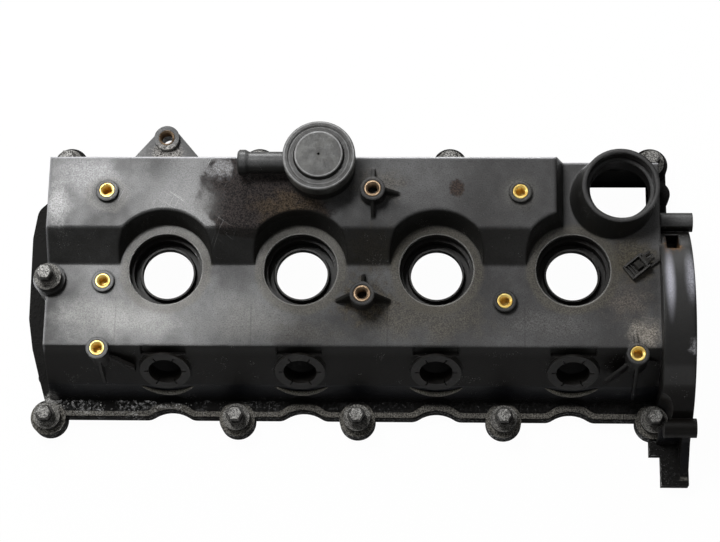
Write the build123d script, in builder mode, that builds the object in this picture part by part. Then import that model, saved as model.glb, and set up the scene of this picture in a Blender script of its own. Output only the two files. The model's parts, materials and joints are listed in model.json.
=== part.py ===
from build123d import *
import os
from math import cos, radians, sin

os.makedirs("parts", exist_ok=True)

# A cylinder either stands on its place or hangs from it
upright = (Align.CENTER, Align.CENTER, Align.MIN)
hanging = (Align.CENTER, Align.CENTER, Align.MAX)

# Valve cover for a four-cylinder diesel engine, moulded in glass-filled nylon
# X runs along the engine to the timing end, Y from the front bolt row to the rear one, Z up
# The origin is the middle of the envelope, on the plane that the gasket seals against

# Envelope
cover_length = 488.0
cover_depth = 260.0
left_end_x = -cover_length / 2
timing_end_x = cover_length / 2
foot_tip_y = -cover_depth / 2
tab_tip_y = cover_depth / 2

# Levels above the gasket plane
flange_bottom_z = 1.0
flange_top_z = 12.0
fold_z = 36.0
deck_z = 70.0
upper_deck_z = 90.0
wall = 3.0

# Outer faces of the tray at the flange, at the fold and at the deck
tray_levels = [flange_top_z, fold_z, deck_z]
tray_left_x = [-224.0, -220.5, -219.0]
tray_front_y = [-73.0, -64.0, -43.5]
tray_rear_y = [102.0, 98.6, 94.0]
tray_right_x = 220.0

# Upper deck over the oil separator, at its foot and at its top
upper_left_x = [-219.0, -218.0]
upper_right_x = [151.0, 145.5]
upper_front_y = [16.0, 38.5]
upper_rear_y = [94.0, 91.6]
deck_edge_radius = 2.0

# Injector wells
well_count = 4
well_pitch = 97.0
well_mid_x = 12.0
well_line_y = 13.0
well_radius = 26.3
well_wall = 3.5
well_shelf_z = 50.0
well_shelf_radius = 22.0
well_bottom_z = 44.0
scallop_foot_radius = 33.0
scallop_top_radius = 38.5
well_x = [well_mid_x + (i - (well_count - 1) / 2) * well_pitch for i in range(well_count)]

# Seals in the wells
seal_fit = 0.05
seal_lip_radius = 18.5
seal_height = 11.0
seal_web = 2.2

# Flange and its bolts
front_edge_y = -83.0
rear_edge_y = 112.0
front_bolt_y = -84.0
rear_bolt_y = 112.0
front_bolt_x = [-223.5, -84.6, 3.1, 109.1, 217.0]
rear_bolt_x = [-218.0, -74.3, 69.8, 219.6]
left_bolt_x = -216.5
left_bolt_y = 4.2
boss_radius = 13.0
boss_top_z = 14.0
left_boss_radius = 11.5
left_boss_top_z = 74.0
notch_depth = 5.5
notch_radius = 23.5

# Captive bolt, sleeve and rubber grommet at each boss
thread_radius = 3.0
sleeve_play = 0.35
sleeve_wall = 1.2
sleeve_stand = 6.5
sleeve_bottom_z = 0.2
washer_radius = 9.75
washer_thickness = 2.0
grommet_play = 0.05
grommet_radius = 8.0
grommet_rim_radius = 9.2
grommet_depth = 10.0
bolt_lift = 6.0
bolt_tip_z = 0.5
head_flange_radius = 6.5
head_flange_thickness = 1.5
head_across_flats = 10.0
head_height = 5.5

# Gasket in the flange and round the timing arch
gasket_width = 3.6
gasket_height = 4.0
groove_play = 0.1
timing_gasket_width = 2.8
timing_gasket_stand = 0.5
timing_groove_depth = 2.5
front_gasket_y = -73.4
rear_gasket_y = 101.8
left_gasket_x = -233.0
right_gasket_x = 224.0

# Arch over the timing gears
arch_y = -17.0
arch_z = 2.0
arch_radius = 84.0
arch_wall = 3.5
arch_left_x = 219.0
arch_face_x = timing_end_x - 2.5
arch_rim = 3.0
arch_rim_length = 6.0
end_boss_radius = 6.9
end_boss_pitch_radius = 89.0
end_boss_angles = [38.0, 151.5]
end_bolt_radius = 3.3
end_bolt_depth = 18.0
foot_left_x = 222.0
foot_length = 40.0
arch_column_radius = 12.5
pocket_y = 26.0
pocket_length = 15.0
pocket_width = 19.0
pocket_floor_z = 40.0
foot_web = 6.0

# Insert bosses, as place, top, boss radius, insert radius and bore radius
brass_boss = dict(boss=8.0, insert=5.35, bore=3.35)
steel_boss = dict(boss=8.8, insert=6.0, bore=3.6)
insert_bosses = {
    "insert_rear_left": dict(x=-174.8, y=64.9, top=93.0, **brass_boss),
    "insert_deck_left": dict(x=-178.0, y=3.3, top=73.0, **brass_boss),
    "insert_front_left": dict(x=-179.0, y=-46.9, top=76.0, **brass_boss),
    "insert_rear_right": dict(x=119.9, y=64.3, top=93.0, **brass_boss),
    "insert_deck_right": dict(x=109.0, y=-10.8, top=74.0, **brass_boss),
    "insert_front_right": dict(x=201.6, y=-49.2, top=76.0, **brass_boss),
    "insert_rear_middle": dict(x=15.4, y=63.4, top=102.0, **steel_boss),
    "insert_deck_middle": dict(x=8.6, y=-10.3, top=90.0, **steel_boss),
}
insert_length = 10.0
insert_stand = 0.3
insert_fit = 0.02
rib_thickness = 2.4
rib_reach = 20.5

# Tab on the rear wall
tab_x = -140.3
tab_radius = 9.4
tab_top_z = 50.0
tab_plate_z = 40.0
tab_plate = 6.0
tab_root_half = 30.0
tab_insert_radius = 5.9
tab_bore_radius = 4.3

# Injection tube seals on the front wall
tube_y = -56.2
tube_z = 50.0
tube_tilt = 61.0
tube_boss_radius = 18.8
tube_hole_radius = 15.5
tube_bore_radius = 11.9
tube_seal_rim = 17.9
tube_seal_rim_thickness = 1.8
tube_seal_depth = 9.0
tube_slit_count = 6
tube_slit_width = 0.9
tube_slit_reach = 15.2
tube_slit_depth = 3.0
tube_pocket_width = 32.0
tube_pocket_height = 8.0
tube_pocket_depth = 3.2

# Oil filler neck
filler_x = 190.9
filler_y = 69.4
filler_top_z = 92.0
filler_radius = 27.4
filler_bore = 24.2
filler_bore_depth = 10.0
filler_lip_bore = 21.4
filler_base_x = 185.8
filler_base_y = 66.4
filler_base_radius = 30.0

# Breather regulator on the upper deck
breather_x = -22.2
breather_y = 83.2
breather_radius = 24.2
breather_neck_radius = 23.0
breather_neck_z = 103.0
breather_rim_z = 112.0
chamber_radius = 20.0
chamber_floor_z = 93.0
nozzle_radius = 7.2
nozzle_bore = 5.4
nozzle_top_z = 110.0
barb_z = 100.0
barb_radius = 7.8
barb_bead_radius = 9.2
barb_bore = 5.0
barb_tip_x = -80.6
cap_radius = 25.7
cap_wall = 2.0
cap_bottom_z = 104.5
cap_step_z = 115.8
cap_top_z = 118.6
cap_disc_radius = 17.0
cap_vent_radius = 0.9
cap_play = 0.15
plate_radius = 11.5
plate_thickness = 1.6
plate_stem_radius = 2.0
plate_stem_length = 10.6
diaphragm_thickness = 0.9
diaphragm_rise = 2.6
spring_radius = 9.8
spring_wire = 1.0
spring_turns = 4.5

# Separator plate under the upper deck
baffle_thickness = 2.5
baffle_play = 0.3
drain_radius = 3.2
drain_depth = 14.0
baffle_drain_x = [-85.0, 109.0]
baffle_drain_y = 60.0

# Harness clip on the deck
clip_x = 203.1
clip_y = 15.4
clip_turn = 38.0
clip_length = 20.0
clip_width = 14.0


def level_rectangle(z, left, right, front, rear):
    with BuildSketch(Plane.XY.offset(z)) as level:
        with Locations(((left + right) / 2, (front + rear) / 2)):
            Rectangle(right - left, rear - front)
    return level.sketch


def level_disc(z, x, y, radius):
    with BuildSketch(Plane.XY.offset(z)) as level:
        with Locations((x, y)):
            Circle(radius)
    return level.sketch


# Tray under both decks, with the front wall drawn in behind each notch of the flange
def tray(inset, bottom_z, top_z, right_x):
    sections = []
    levels = [bottom_z] + tray_levels[1:-1] + [top_z]
    for z, left, front, rear in zip(levels, tray_left_x, tray_front_y, tray_rear_y):
        sections.append(level_rectangle(z, left + inset, right_x, front + inset, rear - inset))
    with BuildPart() as body:
        loft(sections=sections, ruled=True)
        recess_radius = notch_radius + tray_front_y[0] - front_edge_y - 1
        recess_y = tray_front_y[0] + notch_depth - recess_radius
        with Locations(*[(x, recess_y, bottom_z) for x in well_x]):
            Cylinder(recess_radius + inset, top_z - bottom_z, align=upright,
                     mode=Mode.SUBTRACT)
    return body.part


# Raised block of the upper deck, cut back in a cone round each well
def raised_block(inset, bottom_z, top_z):
    sections = []
    levels = [bottom_z, top_z]
    for z, left, right, front, rear in zip(levels, upper_left_x, upper_right_x, upper_front_y, upper_rear_y):
        sections.append(level_rectangle(z, left + inset, right - inset, front + inset, rear - inset))
    with BuildPart() as block:
        loft(sections=sections, ruled=True)
        with Locations(*[(x, well_line_y, bottom_z) for x in well_x]):
            Cone(scallop_foot_radius + inset, scallop_top_radius + inset, top_z - bottom_z,
                 align=upright, mode=Mode.SUBTRACT)
    return block.part


# Flat outline of the flange with its bosses and the notches in front of the tube seals
def flange_outline():
    notch_y = front_edge_y + notch_depth - notch_radius
    with BuildSketch(Plane.XY.offset(flange_bottom_z)) as outline:
        with BuildLine():
            Polyline(
                (front_bolt_x[0], front_edge_y),
                (foot_left_x + 6, front_edge_y),
                (foot_left_x + 6, arch_y),
                (tray_right_x + 11, filler_y - 8),
                (tray_right_x + 11, rear_edge_y),
                (rear_bolt_x[0] - 11, rear_edge_y),
                (rear_bolt_x[0] - 12, 86),
                (left_end_x + 3, 76),
                (left_end_x, 54),
                (left_end_x + 1, -9),
                (left_end_x + 5, -32),
                (left_end_x + 12, -56),
                close=True,
            )
        make_face()
        fillet(outline.vertices().filter_by(lambda v: v.X < left_end_x + 8), 12)
        with Locations(*[(x, notch_y) for x in well_x]):
            Circle(notch_radius, mode=Mode.SUBTRACT)
        on_front_edge = outline.vertices().filter_by(lambda v: abs(v.Y - front_edge_y) < 0.01)
        notch_ends = on_front_edge.filter_by(lambda v: abs(v.X) < well_x[-1] + 20)
        fillet(notch_ends, 10)
        with Locations(*[(x, front_bolt_y) for x in front_bolt_x]):
            Circle(boss_radius)
        with Locations(*[(x, rear_bolt_y) for x in rear_bolt_x]):
            Circle(boss_radius)
        with Locations((tray_right_x + 4, 90)):
            Circle(10)
        with Locations((foot_left_x, foot_tip_y)):
            Rectangle(arch_face_x - foot_left_x, foot_length, align=(Align.MIN, Align.MIN))
        with Locations((foot_left_x + 1, front_bolt_y - boss_radius - 11)):
            Rectangle(9, 16, align=(Align.MAX, Align.MIN))
    return outline.sketch


# Upright gusset that leans on a boss, drawn outwards from the boss axis
def gusset(x, y, angle, points):
    direction = (cos(radians(angle)), sin(radians(angle)), 0)
    side = (sin(radians(angle)), -cos(radians(angle)), 0)
    with BuildPart() as web:
        with BuildSketch(Plane(origin=(x, y, 0), x_dir=direction, z_dir=side)):
            with BuildLine():
                Polyline(*points, close=True)
            make_face()
        extrude(amount=rib_thickness / 2, both=True)
    return web.part


# Plane on the face of one tube seal, with its normal pointing out of the front wall
def tube_plane(x):
    tilt = radians(tube_tilt)
    return Plane(origin=(x, tube_y, tube_z), x_dir=(1, 0, 0), z_dir=(0, -sin(tilt), cos(tilt)))


# Half disc of the arch, lying across the engine
def arch_block(radius, start_x, end_x, bottom_z):
    with BuildPart() as block:
        with BuildSketch(Plane.YZ.offset(start_x)):
            with Locations(Location((arch_y, arch_z, 0), (0, 0, -90))):
                Circle(radius)
            with Locations((arch_y, bottom_z)):
                Rectangle(3 * radius, 2 * radius, align=(Align.CENTER, Align.MAX), mode=Mode.SUBTRACT)
        extrude(amount=end_x - start_x)
    return block.part


# Middle line of the gasket, open at the timing end
def gasket_band(width):
    bolt_x = front_bolt_x[-1]
    around = boss_radius - 2.4
    with BuildSketch(Plane.XY) as band:
        with BuildLine() as path:
            FilletPolyline(
                (arch_face_x, arch_y - arch_radius + arch_wall / 2),
                (bolt_x + around, arch_y - arch_radius + arch_wall / 2),
                (bolt_x + around, front_gasket_y),
                (front_bolt_x[0] + 10, front_gasket_y),
                (left_gasket_x, front_gasket_y + 20),
                (left_gasket_x, rear_gasket_y - 24),
                (left_gasket_x + 12, rear_gasket_y),
                (right_gasket_x, rear_gasket_y),
                (right_gasket_x, arch_y + arch_radius - arch_wall / 2),
                (arch_face_x, arch_y + arch_radius - arch_wall / 2),
                radius=5.0,
            )
        trace(path.line, line_width=width)
    return band.sketch


# Half ring of the gasket on the timing face, above the end of the main gasket
def timing_ring(play):
    middle_radius = arch_radius - arch_wall / 2 - 1.25
    start_x = arch_face_x - timing_groove_depth
    end_x = arch_face_x + timing_gasket_stand
    reach = timing_gasket_width / 2 + play
    with BuildPart() as ring:
        add(arch_block(middle_radius + reach, start_x, end_x, gasket_height))
        add(arch_block(middle_radius - reach, start_x - 1, end_x + 1, gasket_height - 1), mode=Mode.SUBTRACT)
    return ring.part


end_boss_places = []
for angle in end_boss_angles:
    place_y = arch_y + end_boss_pitch_radius * cos(radians(angle))
    place_z = arch_z + end_boss_pitch_radius * sin(radians(angle))
    end_boss_places.append((place_y, place_z))

stations = [(x, front_bolt_y, boss_top_z) for x in front_bolt_x]
stations += [(left_bolt_x, left_bolt_y, left_boss_top_z)]
stations += [(x, rear_bolt_y, boss_top_z) for x in rear_bolt_x]
tab_y = tab_tip_y - tab_radius

# Space inside the cover: tray, oil separator, arch and the tower under the regulator
with BuildPart() as hollow:
    add(tray(wall, flange_bottom_z - 2, deck_z - wall, tray_right_x - wall))
    add(raised_block(wall, deck_z - wall - 1, upper_deck_z - wall))
    below_z = flange_bottom_z - 2
    add(arch_block(arch_radius - arch_wall, arch_left_x + wall, arch_face_x - arch_rim_length, below_z))
    add(arch_block(arch_radius - arch_wall - arch_rim, arch_left_x + wall, arch_face_x + 1, below_z))
    with Locations((breather_x, breather_y, flange_bottom_z - 2)):
        Cylinder(breather_radius - wall, upper_deck_z - flange_bottom_z + 2, align=upright)
    with Locations((filler_base_x, filler_base_y, deck_z - wall - 10)):
        Cylinder(filler_base_radius - wall, 10, align=upright)
    with Locations((front_bolt_x[-1], front_bolt_y, flange_bottom_z - 3)):
        Cylinder(arch_column_radius, 90, align=upright, mode=Mode.SUBTRACT)
    with Locations((arch_left_x + 2, pocket_y, pocket_floor_z)):
        Box(pocket_length, pocket_width, 60, align=(Align.MIN, Align.MIN, Align.MIN), mode=Mode.SUBTRACT)

# Way from the tray into the arch
with BuildPart() as doorway:
    add(tray(wall, flange_bottom_z - 2, deck_z - wall, arch_left_x + wall + 1))
    door_radius = arch_radius - arch_wall - arch_rim
    add(arch_block(door_radius, tray_right_x - wall - 1, arch_left_x + wall + 2, flange_bottom_z - 2),
        mode=Mode.INTERSECT)
    with Locations((arch_left_x + 2, pocket_y, pocket_floor_z)):
        Box(pocket_length, pocket_width, 60, align=(Align.MIN, Align.MIN, Align.MIN), mode=Mode.SUBTRACT)

# Arch with the bolt bosses of the timing cover and the web that stiffens its foot
with BuildPart() as arch_end:
    lower_y, lower_z = end_boss_places[1]
    with BuildSketch(Plane.YZ.offset(arch_face_x - foot_web - 0.8)):
        with BuildLine():
            Polyline(
                (lower_y, lower_z),
                (lower_y - end_boss_radius - 1, lower_z - 12),
                (foot_tip_y + 1, flange_top_z - 1),
                (lower_y, flange_top_z - 1),
                close=True,
            )
        make_face()
    extrude(amount=foot_web)
    add(arch_block(arch_radius, arch_left_x, arch_face_x, flange_bottom_z))
    with BuildSketch(Plane.YZ.offset(foot_left_x - 1)):
        with Locations(*end_boss_places):
            Circle(end_boss_radius)
    extrude(amount=timing_end_x - foot_left_x + 1)

# Cover moulding
with BuildPart() as cover:
    add(tray(0, flange_bottom_z, deck_z, tray_right_x))
    add(raised_block(0, deck_z, upper_deck_z))
    fillet(cover.edges().filter_by(lambda e: e.center().Z > upper_deck_z - 0.1), deck_edge_radius)
    add(arch_end.part)
    add(flange_outline())
    extrude(amount=flange_top_z - flange_bottom_z)
    with Locations(*[(x, y, flange_bottom_z) for x, y, top in stations if top == boss_top_z]):
        Cylinder(boss_radius, boss_top_z - flange_bottom_z, align=upright)

    # Filler neck, leaning a little on its base
    loft(sections=[
        level_disc(deck_z - 14, filler_base_x, filler_base_y, filler_base_radius),
        level_disc(deck_z, filler_base_x, filler_base_y, filler_base_radius),
        level_disc(filler_top_z, filler_x, filler_y, filler_radius),
    ], ruled=True)

    # Tower and neck of the regulator
    with Locations((breather_x, breather_y, flange_top_z)):
        Cylinder(breather_radius, breather_neck_z - flange_top_z, align=upright)
        Cylinder(breather_neck_radius, breather_rim_z - flange_top_z, align=upright)

    # Root cones of the tube seals
    for x in well_x:
        with BuildSketch(tube_plane(x)):
            Circle(tube_boss_radius)
        extrude(amount=-10, taper=-20)

    # Columns in front of the wall, and gussets on the tall bosses
    for name in ("insert_front_left", "insert_front_right"):
        spot = insert_bosses[name]
        with Locations((spot["x"], spot["y"], flange_top_z + 4)):
            Cylinder(spot["boss"], deck_z - flange_top_z - 4, align=upright)
        fin = [(0, fold_z), (0, spot["top"] - 12), (spot["boss"], spot["top"] - 12), (21, 22), (12, 20)]
        add(gusset(spot["x"], spot["y"], -90, fin))
    front_ribs = [
        ("insert_front_left", -20, 26, deck_z - 22),
        ("insert_front_right", 215, 27, deck_z - 22),
        ("insert_front_right", 0, 17, deck_z - 22),
    ]
    for name, angle, reach, low in front_ribs:
        spot = insert_bosses[name]
        side = [(0, low), (0, deck_z - 2), (reach, deck_z - 12), (reach, low)]
        add(gusset(spot["x"], spot["y"], angle, side))
    deck_ribs = [
        ("insert_rear_middle", upper_deck_z, (90, 0, -90)),
        ("insert_deck_middle", deck_z, (90, 0, 180)),
        ("insert_front_right", deck_z, (95,)),
    ]
    for name, level, angles in deck_ribs:
        spot = insert_bosses[name]
        for angle in angles:
            crest = spot["top"] - 1.5
            side = [(0, level - 1), (0, crest), (spot["boss"], crest), (rib_reach, level - 1)]
            add(gusset(spot["x"], spot["y"], angle, side))

    # Tab on the rear wall
    with BuildSketch(Plane.XY.offset(tab_plate_z)) as tab:
        with Locations((tab_x, tab_y)):
            Circle(tab_radius)
        with Locations((tab_x, tray_rear_y[1])):
            Rectangle(2 * tab_root_half, 2)
        make_hull(tab.edges())
    extrude(amount=tab_plate)
    with Locations((tab_x, tab_y, tab_top_z)):
        Cylinder(tab_radius, tab_top_z - tab_plate_z + 12, align=hanging)

    # Inside is opened up
    add(hollow.part, mode=Mode.SUBTRACT)
    add(doorway.part, mode=Mode.SUBTRACT)

    # Wells, the column of the left bolt and the one in the arch
    with Locations(*[(x, well_line_y, well_bottom_z) for x in well_x]):
        Cylinder(well_radius + well_wall, deck_z - well_bottom_z, align=upright)
    with Locations((left_bolt_x, left_bolt_y, flange_bottom_z)):
        Cylinder(left_boss_radius, left_boss_top_z - flange_bottom_z, align=upright)

    # Pocket beside the upper boss of the arch
    with Locations((arch_left_x + 2 + wall, pocket_y + wall, pocket_floor_z + wall)):
        Box(pocket_length - 2 * wall, pocket_width - 2 * wall, 60, align=(Align.MIN, Align.MIN, Align.MIN),
            mode=Mode.SUBTRACT)

    # Bosses for the inserts, carried down under the decks
    for spot in insert_bosses.values():
        depth = insert_length + wall
        with Locations((spot["x"], spot["y"], spot["top"])):
            Cylinder(spot["boss"], depth, align=hanging)

    # Well bores with the shelf under each seal
    with Locations(*[(x, well_line_y, deck_z + 5) for x in well_x]):
        Cylinder(well_radius, deck_z + 5 - well_shelf_z, align=hanging, mode=Mode.SUBTRACT)
        Cylinder(well_shelf_radius, 60, align=hanging, mode=Mode.SUBTRACT)

    # Tube seal holes, with a pocket above each
    for x in well_x:
        with BuildSketch(tube_plane(x)):
            Circle(tube_hole_radius)
        extrude(amount=20, both=True, mode=Mode.SUBTRACT)
        with BuildSketch(tube_plane(x).offset(-tube_pocket_depth)):
            with Locations((0, tube_boss_radius - 4)):
                Rectangle(tube_pocket_width, tube_pocket_height, align=(Align.CENTER, Align.MIN))
        extrude(amount=12, mode=Mode.SUBTRACT)

    # Filler bore with its bayonet lip
    with Locations((filler_x, filler_y, filler_top_z)):
        Cylinder(filler_lip_bore, 60, mode=Mode.SUBTRACT)
        Cylinder(filler_bore, filler_bore_depth, align=hanging, mode=Mode.SUBTRACT)

    # Regulator chamber, its nozzle and the hose barb
    with Locations((breather_x, breather_y, breather_rim_z)):
        Cylinder(chamber_radius, breather_rim_z - chamber_floor_z, align=hanging,
                 mode=Mode.SUBTRACT)
    with Locations((breather_x, breather_y, chamber_floor_z - 1)):
        Cylinder(nozzle_radius, nozzle_top_z - chamber_floor_z + 1, align=upright)
    with BuildSketch(Plane.XZ.offset(-breather_y)):
        with BuildLine():
            Polyline(
                (barb_tip_x, barb_z),
                (barb_tip_x, barb_z + barb_radius),
                (barb_tip_x + 1.2, barb_z + barb_bead_radius),
                (barb_tip_x + 5.5, barb_z + barb_bead_radius),
                (barb_tip_x + 8, barb_z + barb_radius),
                (breather_x - breather_radius + 2.5, barb_z + barb_radius),
                (breather_x - breather_radius + 2.5, barb_z),
                close=True,
            )
        make_face()
    revolve(axis=Axis((0, breather_y, barb_z), (1, 0, 0)))
    with Locations((breather_x, breather_y, upper_deck_z)):
        Cylinder(nozzle_bore, 60, mode=Mode.SUBTRACT)
    with BuildSketch(Plane.YZ.offset(barb_tip_x)):
        with Locations((breather_y, barb_z)):
            Circle(barb_bore)
    extrude(amount=breather_x - nozzle_radius - 6 - barb_tip_x, mode=Mode.SUBTRACT)

    # Seats of the grommets and sleeves
    for x, y, top in stations:
        with Locations((x, y, top)):
            Cylinder(grommet_radius + grommet_play, grommet_depth, align=hanging,
                     mode=Mode.SUBTRACT)
            Cylinder(thread_radius + sleeve_play + sleeve_wall + 0.6, 100, align=hanging,
                     mode=Mode.SUBTRACT)
    with Locations((front_bolt_x[-1], front_bolt_y, boss_top_z)):
        Cylinder(washer_radius + 0.5, 60, align=upright, mode=Mode.SUBTRACT)

    # Seats of the threaded inserts
    for spot in insert_bosses.values():
        with Locations((spot["x"], spot["y"], spot["top"])):
            Cylinder(spot["insert"] + insert_fit, insert_length, align=hanging,
                     mode=Mode.SUBTRACT)
    with Locations((tab_x, tab_y, tab_top_z)):
        Cylinder(tab_insert_radius + insert_fit, 60, mode=Mode.SUBTRACT)

    # Bolt holes of the timing cover
    with BuildSketch(Plane.YZ.offset(timing_end_x)):
        with Locations(*end_boss_places):
            Circle(end_bolt_radius)
    extrude(amount=-end_bolt_depth, mode=Mode.SUBTRACT)

    # Grooves of the two gaskets
    with BuildSketch(Plane.XY.offset(flange_bottom_z)):
        add(gasket_band(gasket_width + 2 * groove_play))
    extrude(amount=gasket_height - flange_bottom_z, mode=Mode.SUBTRACT)
    add(timing_ring(groove_play), mode=Mode.SUBTRACT)
cover.part.label = "cover"
export_step(cover.part, "parts/cover.step")

# Gasket under the flange and gasket on the arch
with BuildPart() as gasket_main:
    with BuildSketch(Plane.XY):
        add(gasket_band(gasket_width))
    extrude(amount=gasket_height)
gasket_main.part.label = "gasket_main"
export_step(gasket_main.part, "parts/gasket_main.step")

with BuildPart() as gasket_timing:
    add(timing_ring(0))
gasket_timing.part.label = "gasket_timing"
export_step(gasket_timing.part, "parts/gasket_timing.step")

# Captive bolts with their sleeves and grommets
for number, (x, y, top) in enumerate(stations, start=1):
    seat_z = top + sleeve_stand
    head_z = seat_z + bolt_lift
    with BuildPart() as bolt:
        with Locations((x, y, bolt_tip_z)):
            Cylinder(thread_radius, head_z - bolt_tip_z + 1, align=upright)
        chamfer(bolt.edges().sort_by(Axis.Z)[0], 0.8)
        with Locations((x, y, head_z)):
            Cylinder(head_flange_radius, head_flange_thickness, align=upright)
        with BuildSketch(Plane.XY.offset(head_z + head_flange_thickness)):
            with Locations((x, y)):
                RegularPolygon(head_across_flats / 2, 6, major_radius=False)
        extrude(amount=head_height)
        chamfer(bolt.faces().sort_by(Axis.Z)[-1].edges(), 0.5)
    bolt.part.label = f"bolt_{number}"
    export_step(bolt.part, f"parts/bolt_{number}.step")

    with BuildPart() as sleeve:
        with Locations((x, y, sleeve_bottom_z)):
            Cylinder(thread_radius + sleeve_play + sleeve_wall, seat_z - sleeve_bottom_z,
                     align=upright)
        with Locations((x, y, seat_z)):
            Cylinder(washer_radius, washer_thickness, align=hanging)
        with Locations((x, y, sleeve_bottom_z)):
            Cylinder(thread_radius + sleeve_play, seat_z, align=upright,
                     mode=Mode.SUBTRACT)
    sleeve.part.label = f"sleeve_{number}"
    export_step(sleeve.part, f"parts/sleeve_{number}.step")

    with BuildPart() as grommet:
        with Locations((x, y, top)):
            Cylinder(grommet_radius, grommet_depth, align=hanging)
            Cylinder(grommet_rim_radius, sleeve_stand - washer_thickness, align=upright)
        fillet(grommet.edges().sort_by(Axis.Z)[-1], 0.8)
        with Locations((x, y, top)):
            Cylinder(thread_radius + sleeve_play + sleeve_wall + grommet_play, 40, mode=Mode.SUBTRACT)
    grommet.part.label = f"grommet_{number}"
    export_step(grommet.part, f"parts/grommet_{number}.step")

# Threaded inserts
insert_places = {name: (spot["x"], spot["y"], spot["top"], spot["insert"], spot["bore"])
                 for name, spot in insert_bosses.items()}
insert_places["insert_tab"] = (tab_x, tab_y, tab_top_z, tab_insert_radius, tab_bore_radius)
for name, (x, y, top, radius, bore) in insert_places.items():
    with BuildPart() as insert:
        with Locations((x, y, top + insert_stand)):
            Cylinder(radius, insert_length + insert_stand, align=hanging)
            Cylinder(bore, 40, mode=Mode.SUBTRACT)
        chamfer(insert.faces().sort_by(Axis.Z)[-1].edges(), 0.4)
    insert.part.label = name
    export_step(insert.part, f"parts/{name}.step")

# Seals that press into the wells
for number, x in enumerate(well_x, start=1):
    with BuildPart() as well_seal:
        with BuildSketch(Plane.XZ.offset(-well_line_y)):
            with BuildLine():
                outer = well_radius - seal_fit
                Polyline(
                    (x + seal_lip_radius, well_shelf_z + 1),
                    (x + seal_lip_radius + 1.6, well_shelf_z),
                    (x + outer, well_shelf_z),
                    (x + outer, well_shelf_z + seal_height),
                    (x + outer - seal_web, well_shelf_z + seal_height),
                    (x + outer - seal_web, well_shelf_z + seal_web),
                    (x + seal_lip_radius + seal_web, well_shelf_z + seal_web),
                    (x + seal_lip_radius + 1.2, well_shelf_z + 7),
                    (x + seal_lip_radius, well_shelf_z + 7),
                    close=True,
                )
            make_face()
        revolve(axis=Axis((x, well_line_y, 0), (0, 0, 1)))
    well_seal.part.label = f"well_seal_{number}"
    export_step(well_seal.part, f"parts/well_seal_{number}.step")

# Seals of the injection tubes, slit round the lip
for number, x in enumerate(well_x, start=1):
    with BuildPart() as tube_seal:
        with BuildSketch(tube_plane(x)):
            Circle(tube_seal_rim)
        extrude(amount=tube_seal_rim_thickness)
        with BuildSketch(tube_plane(x)):
            Circle(tube_hole_radius - seal_fit)
        extrude(amount=-tube_seal_depth)
        with BuildSketch(tube_plane(x)):
            Circle(tube_bore_radius)
        extrude(amount=20, both=True, mode=Mode.SUBTRACT)
        with BuildSketch(tube_plane(x).offset(tube_seal_rim_thickness)):
            with PolarLocations(0, tube_slit_count):
                with Locations((0, 0)):
                    Rectangle(tube_slit_reach, tube_slit_width, align=(Align.MIN, Align.CENTER))
        extrude(amount=-tube_slit_depth, mode=Mode.SUBTRACT)
    tube_seal.part.label = f"tube_seal_{number}"
    export_step(tube_seal.part, f"parts/tube_seal_{number}.step")

# Oil separator plate with its drain tubes
with BuildPart() as separator_baffle:
    baffle_left = upper_left_x[0] + wall + 2
    baffle_right = upper_right_x[0] + 5
    baffle_front = upper_front_y[0] - 4
    baffle_rear = tray_rear_y[-1] - wall - baffle_play
    baffle_z = deck_z - wall - baffle_thickness
    add(level_rectangle(baffle_z, baffle_left, baffle_right, baffle_front, baffle_rear))
    with BuildSketch(Plane.XY.offset(deck_z - wall - baffle_thickness)):
        with Locations((breather_x, breather_y)):
            Circle(breather_radius - wall - baffle_play)
    extrude(amount=baffle_thickness)
    with Locations(*[(x, baffle_drain_y, deck_z - wall) for x in baffle_drain_x]):
        Cylinder(drain_radius, drain_depth, align=hanging)
    with Locations(*[(x, baffle_drain_y, deck_z) for x in baffle_drain_x]):
        Cylinder(drain_radius - 1.2, 60, mode=Mode.SUBTRACT)
    with Locations(*[(x, well_line_y, deck_z - wall) for x in well_x]):
        Cylinder(well_radius + well_wall + baffle_play, 10, mode=Mode.SUBTRACT)
    with Locations((left_bolt_x, left_bolt_y, deck_z - wall)):
        Cylinder(left_boss_radius + baffle_play, 10, mode=Mode.SUBTRACT)
    with Locations((baffle_left + 18, (baffle_front + baffle_rear) / 2 + 12, deck_z - wall)):
        with GridLocations(9, 12, 2, 3):
            Box(5, 8, 10, mode=Mode.SUBTRACT)
separator_baffle.part.label = "separator_baffle"
export_step(separator_baffle.part, "parts/separator_baffle.step")

# Regulator: cap, diaphragm, valve plate and spring
with BuildPart() as regulator_cap:
    with BuildSketch(Plane.XZ.offset(-breather_y)):
        inner = breather_neck_radius + cap_play
        clamp_z = breather_rim_z + diaphragm_thickness
        with BuildLine():
            Polyline(
                (breather_x + inner, cap_bottom_z),
                (breather_x + cap_radius, cap_bottom_z),
                (breather_x + cap_radius, cap_step_z - 1),
                (breather_x + cap_radius - 1, cap_step_z),
                (breather_x + cap_radius - 3.4, cap_step_z),
                (breather_x + cap_radius - 4.4, cap_step_z - 0.9),
                (breather_x + cap_disc_radius + 1.2, cap_step_z - 0.9),
                (breather_x + cap_disc_radius, cap_top_z - 0.4),
                (breather_x + cap_disc_radius - 0.6, cap_top_z),
                (breather_x + cap_vent_radius, cap_top_z),
                (breather_x + cap_vent_radius, cap_top_z - cap_wall),
                (breather_x + cap_disc_radius - 1.8, cap_top_z - cap_wall),
                (breather_x + cap_disc_radius + 0.4, clamp_z),
                (breather_x + inner, clamp_z),
                close=True,
            )
        make_face()
    revolve(axis=Axis((breather_x, breather_y, 0), (0, 0, 1)))
    with BuildSketch(Plane.YZ.offset(breather_x - cap_radius - 1)):
        with Locations((breather_y, barb_z)):
            Circle(barb_radius + 2 * cap_play)
    extrude(amount=cap_radius - nozzle_radius, mode=Mode.SUBTRACT)
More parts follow.
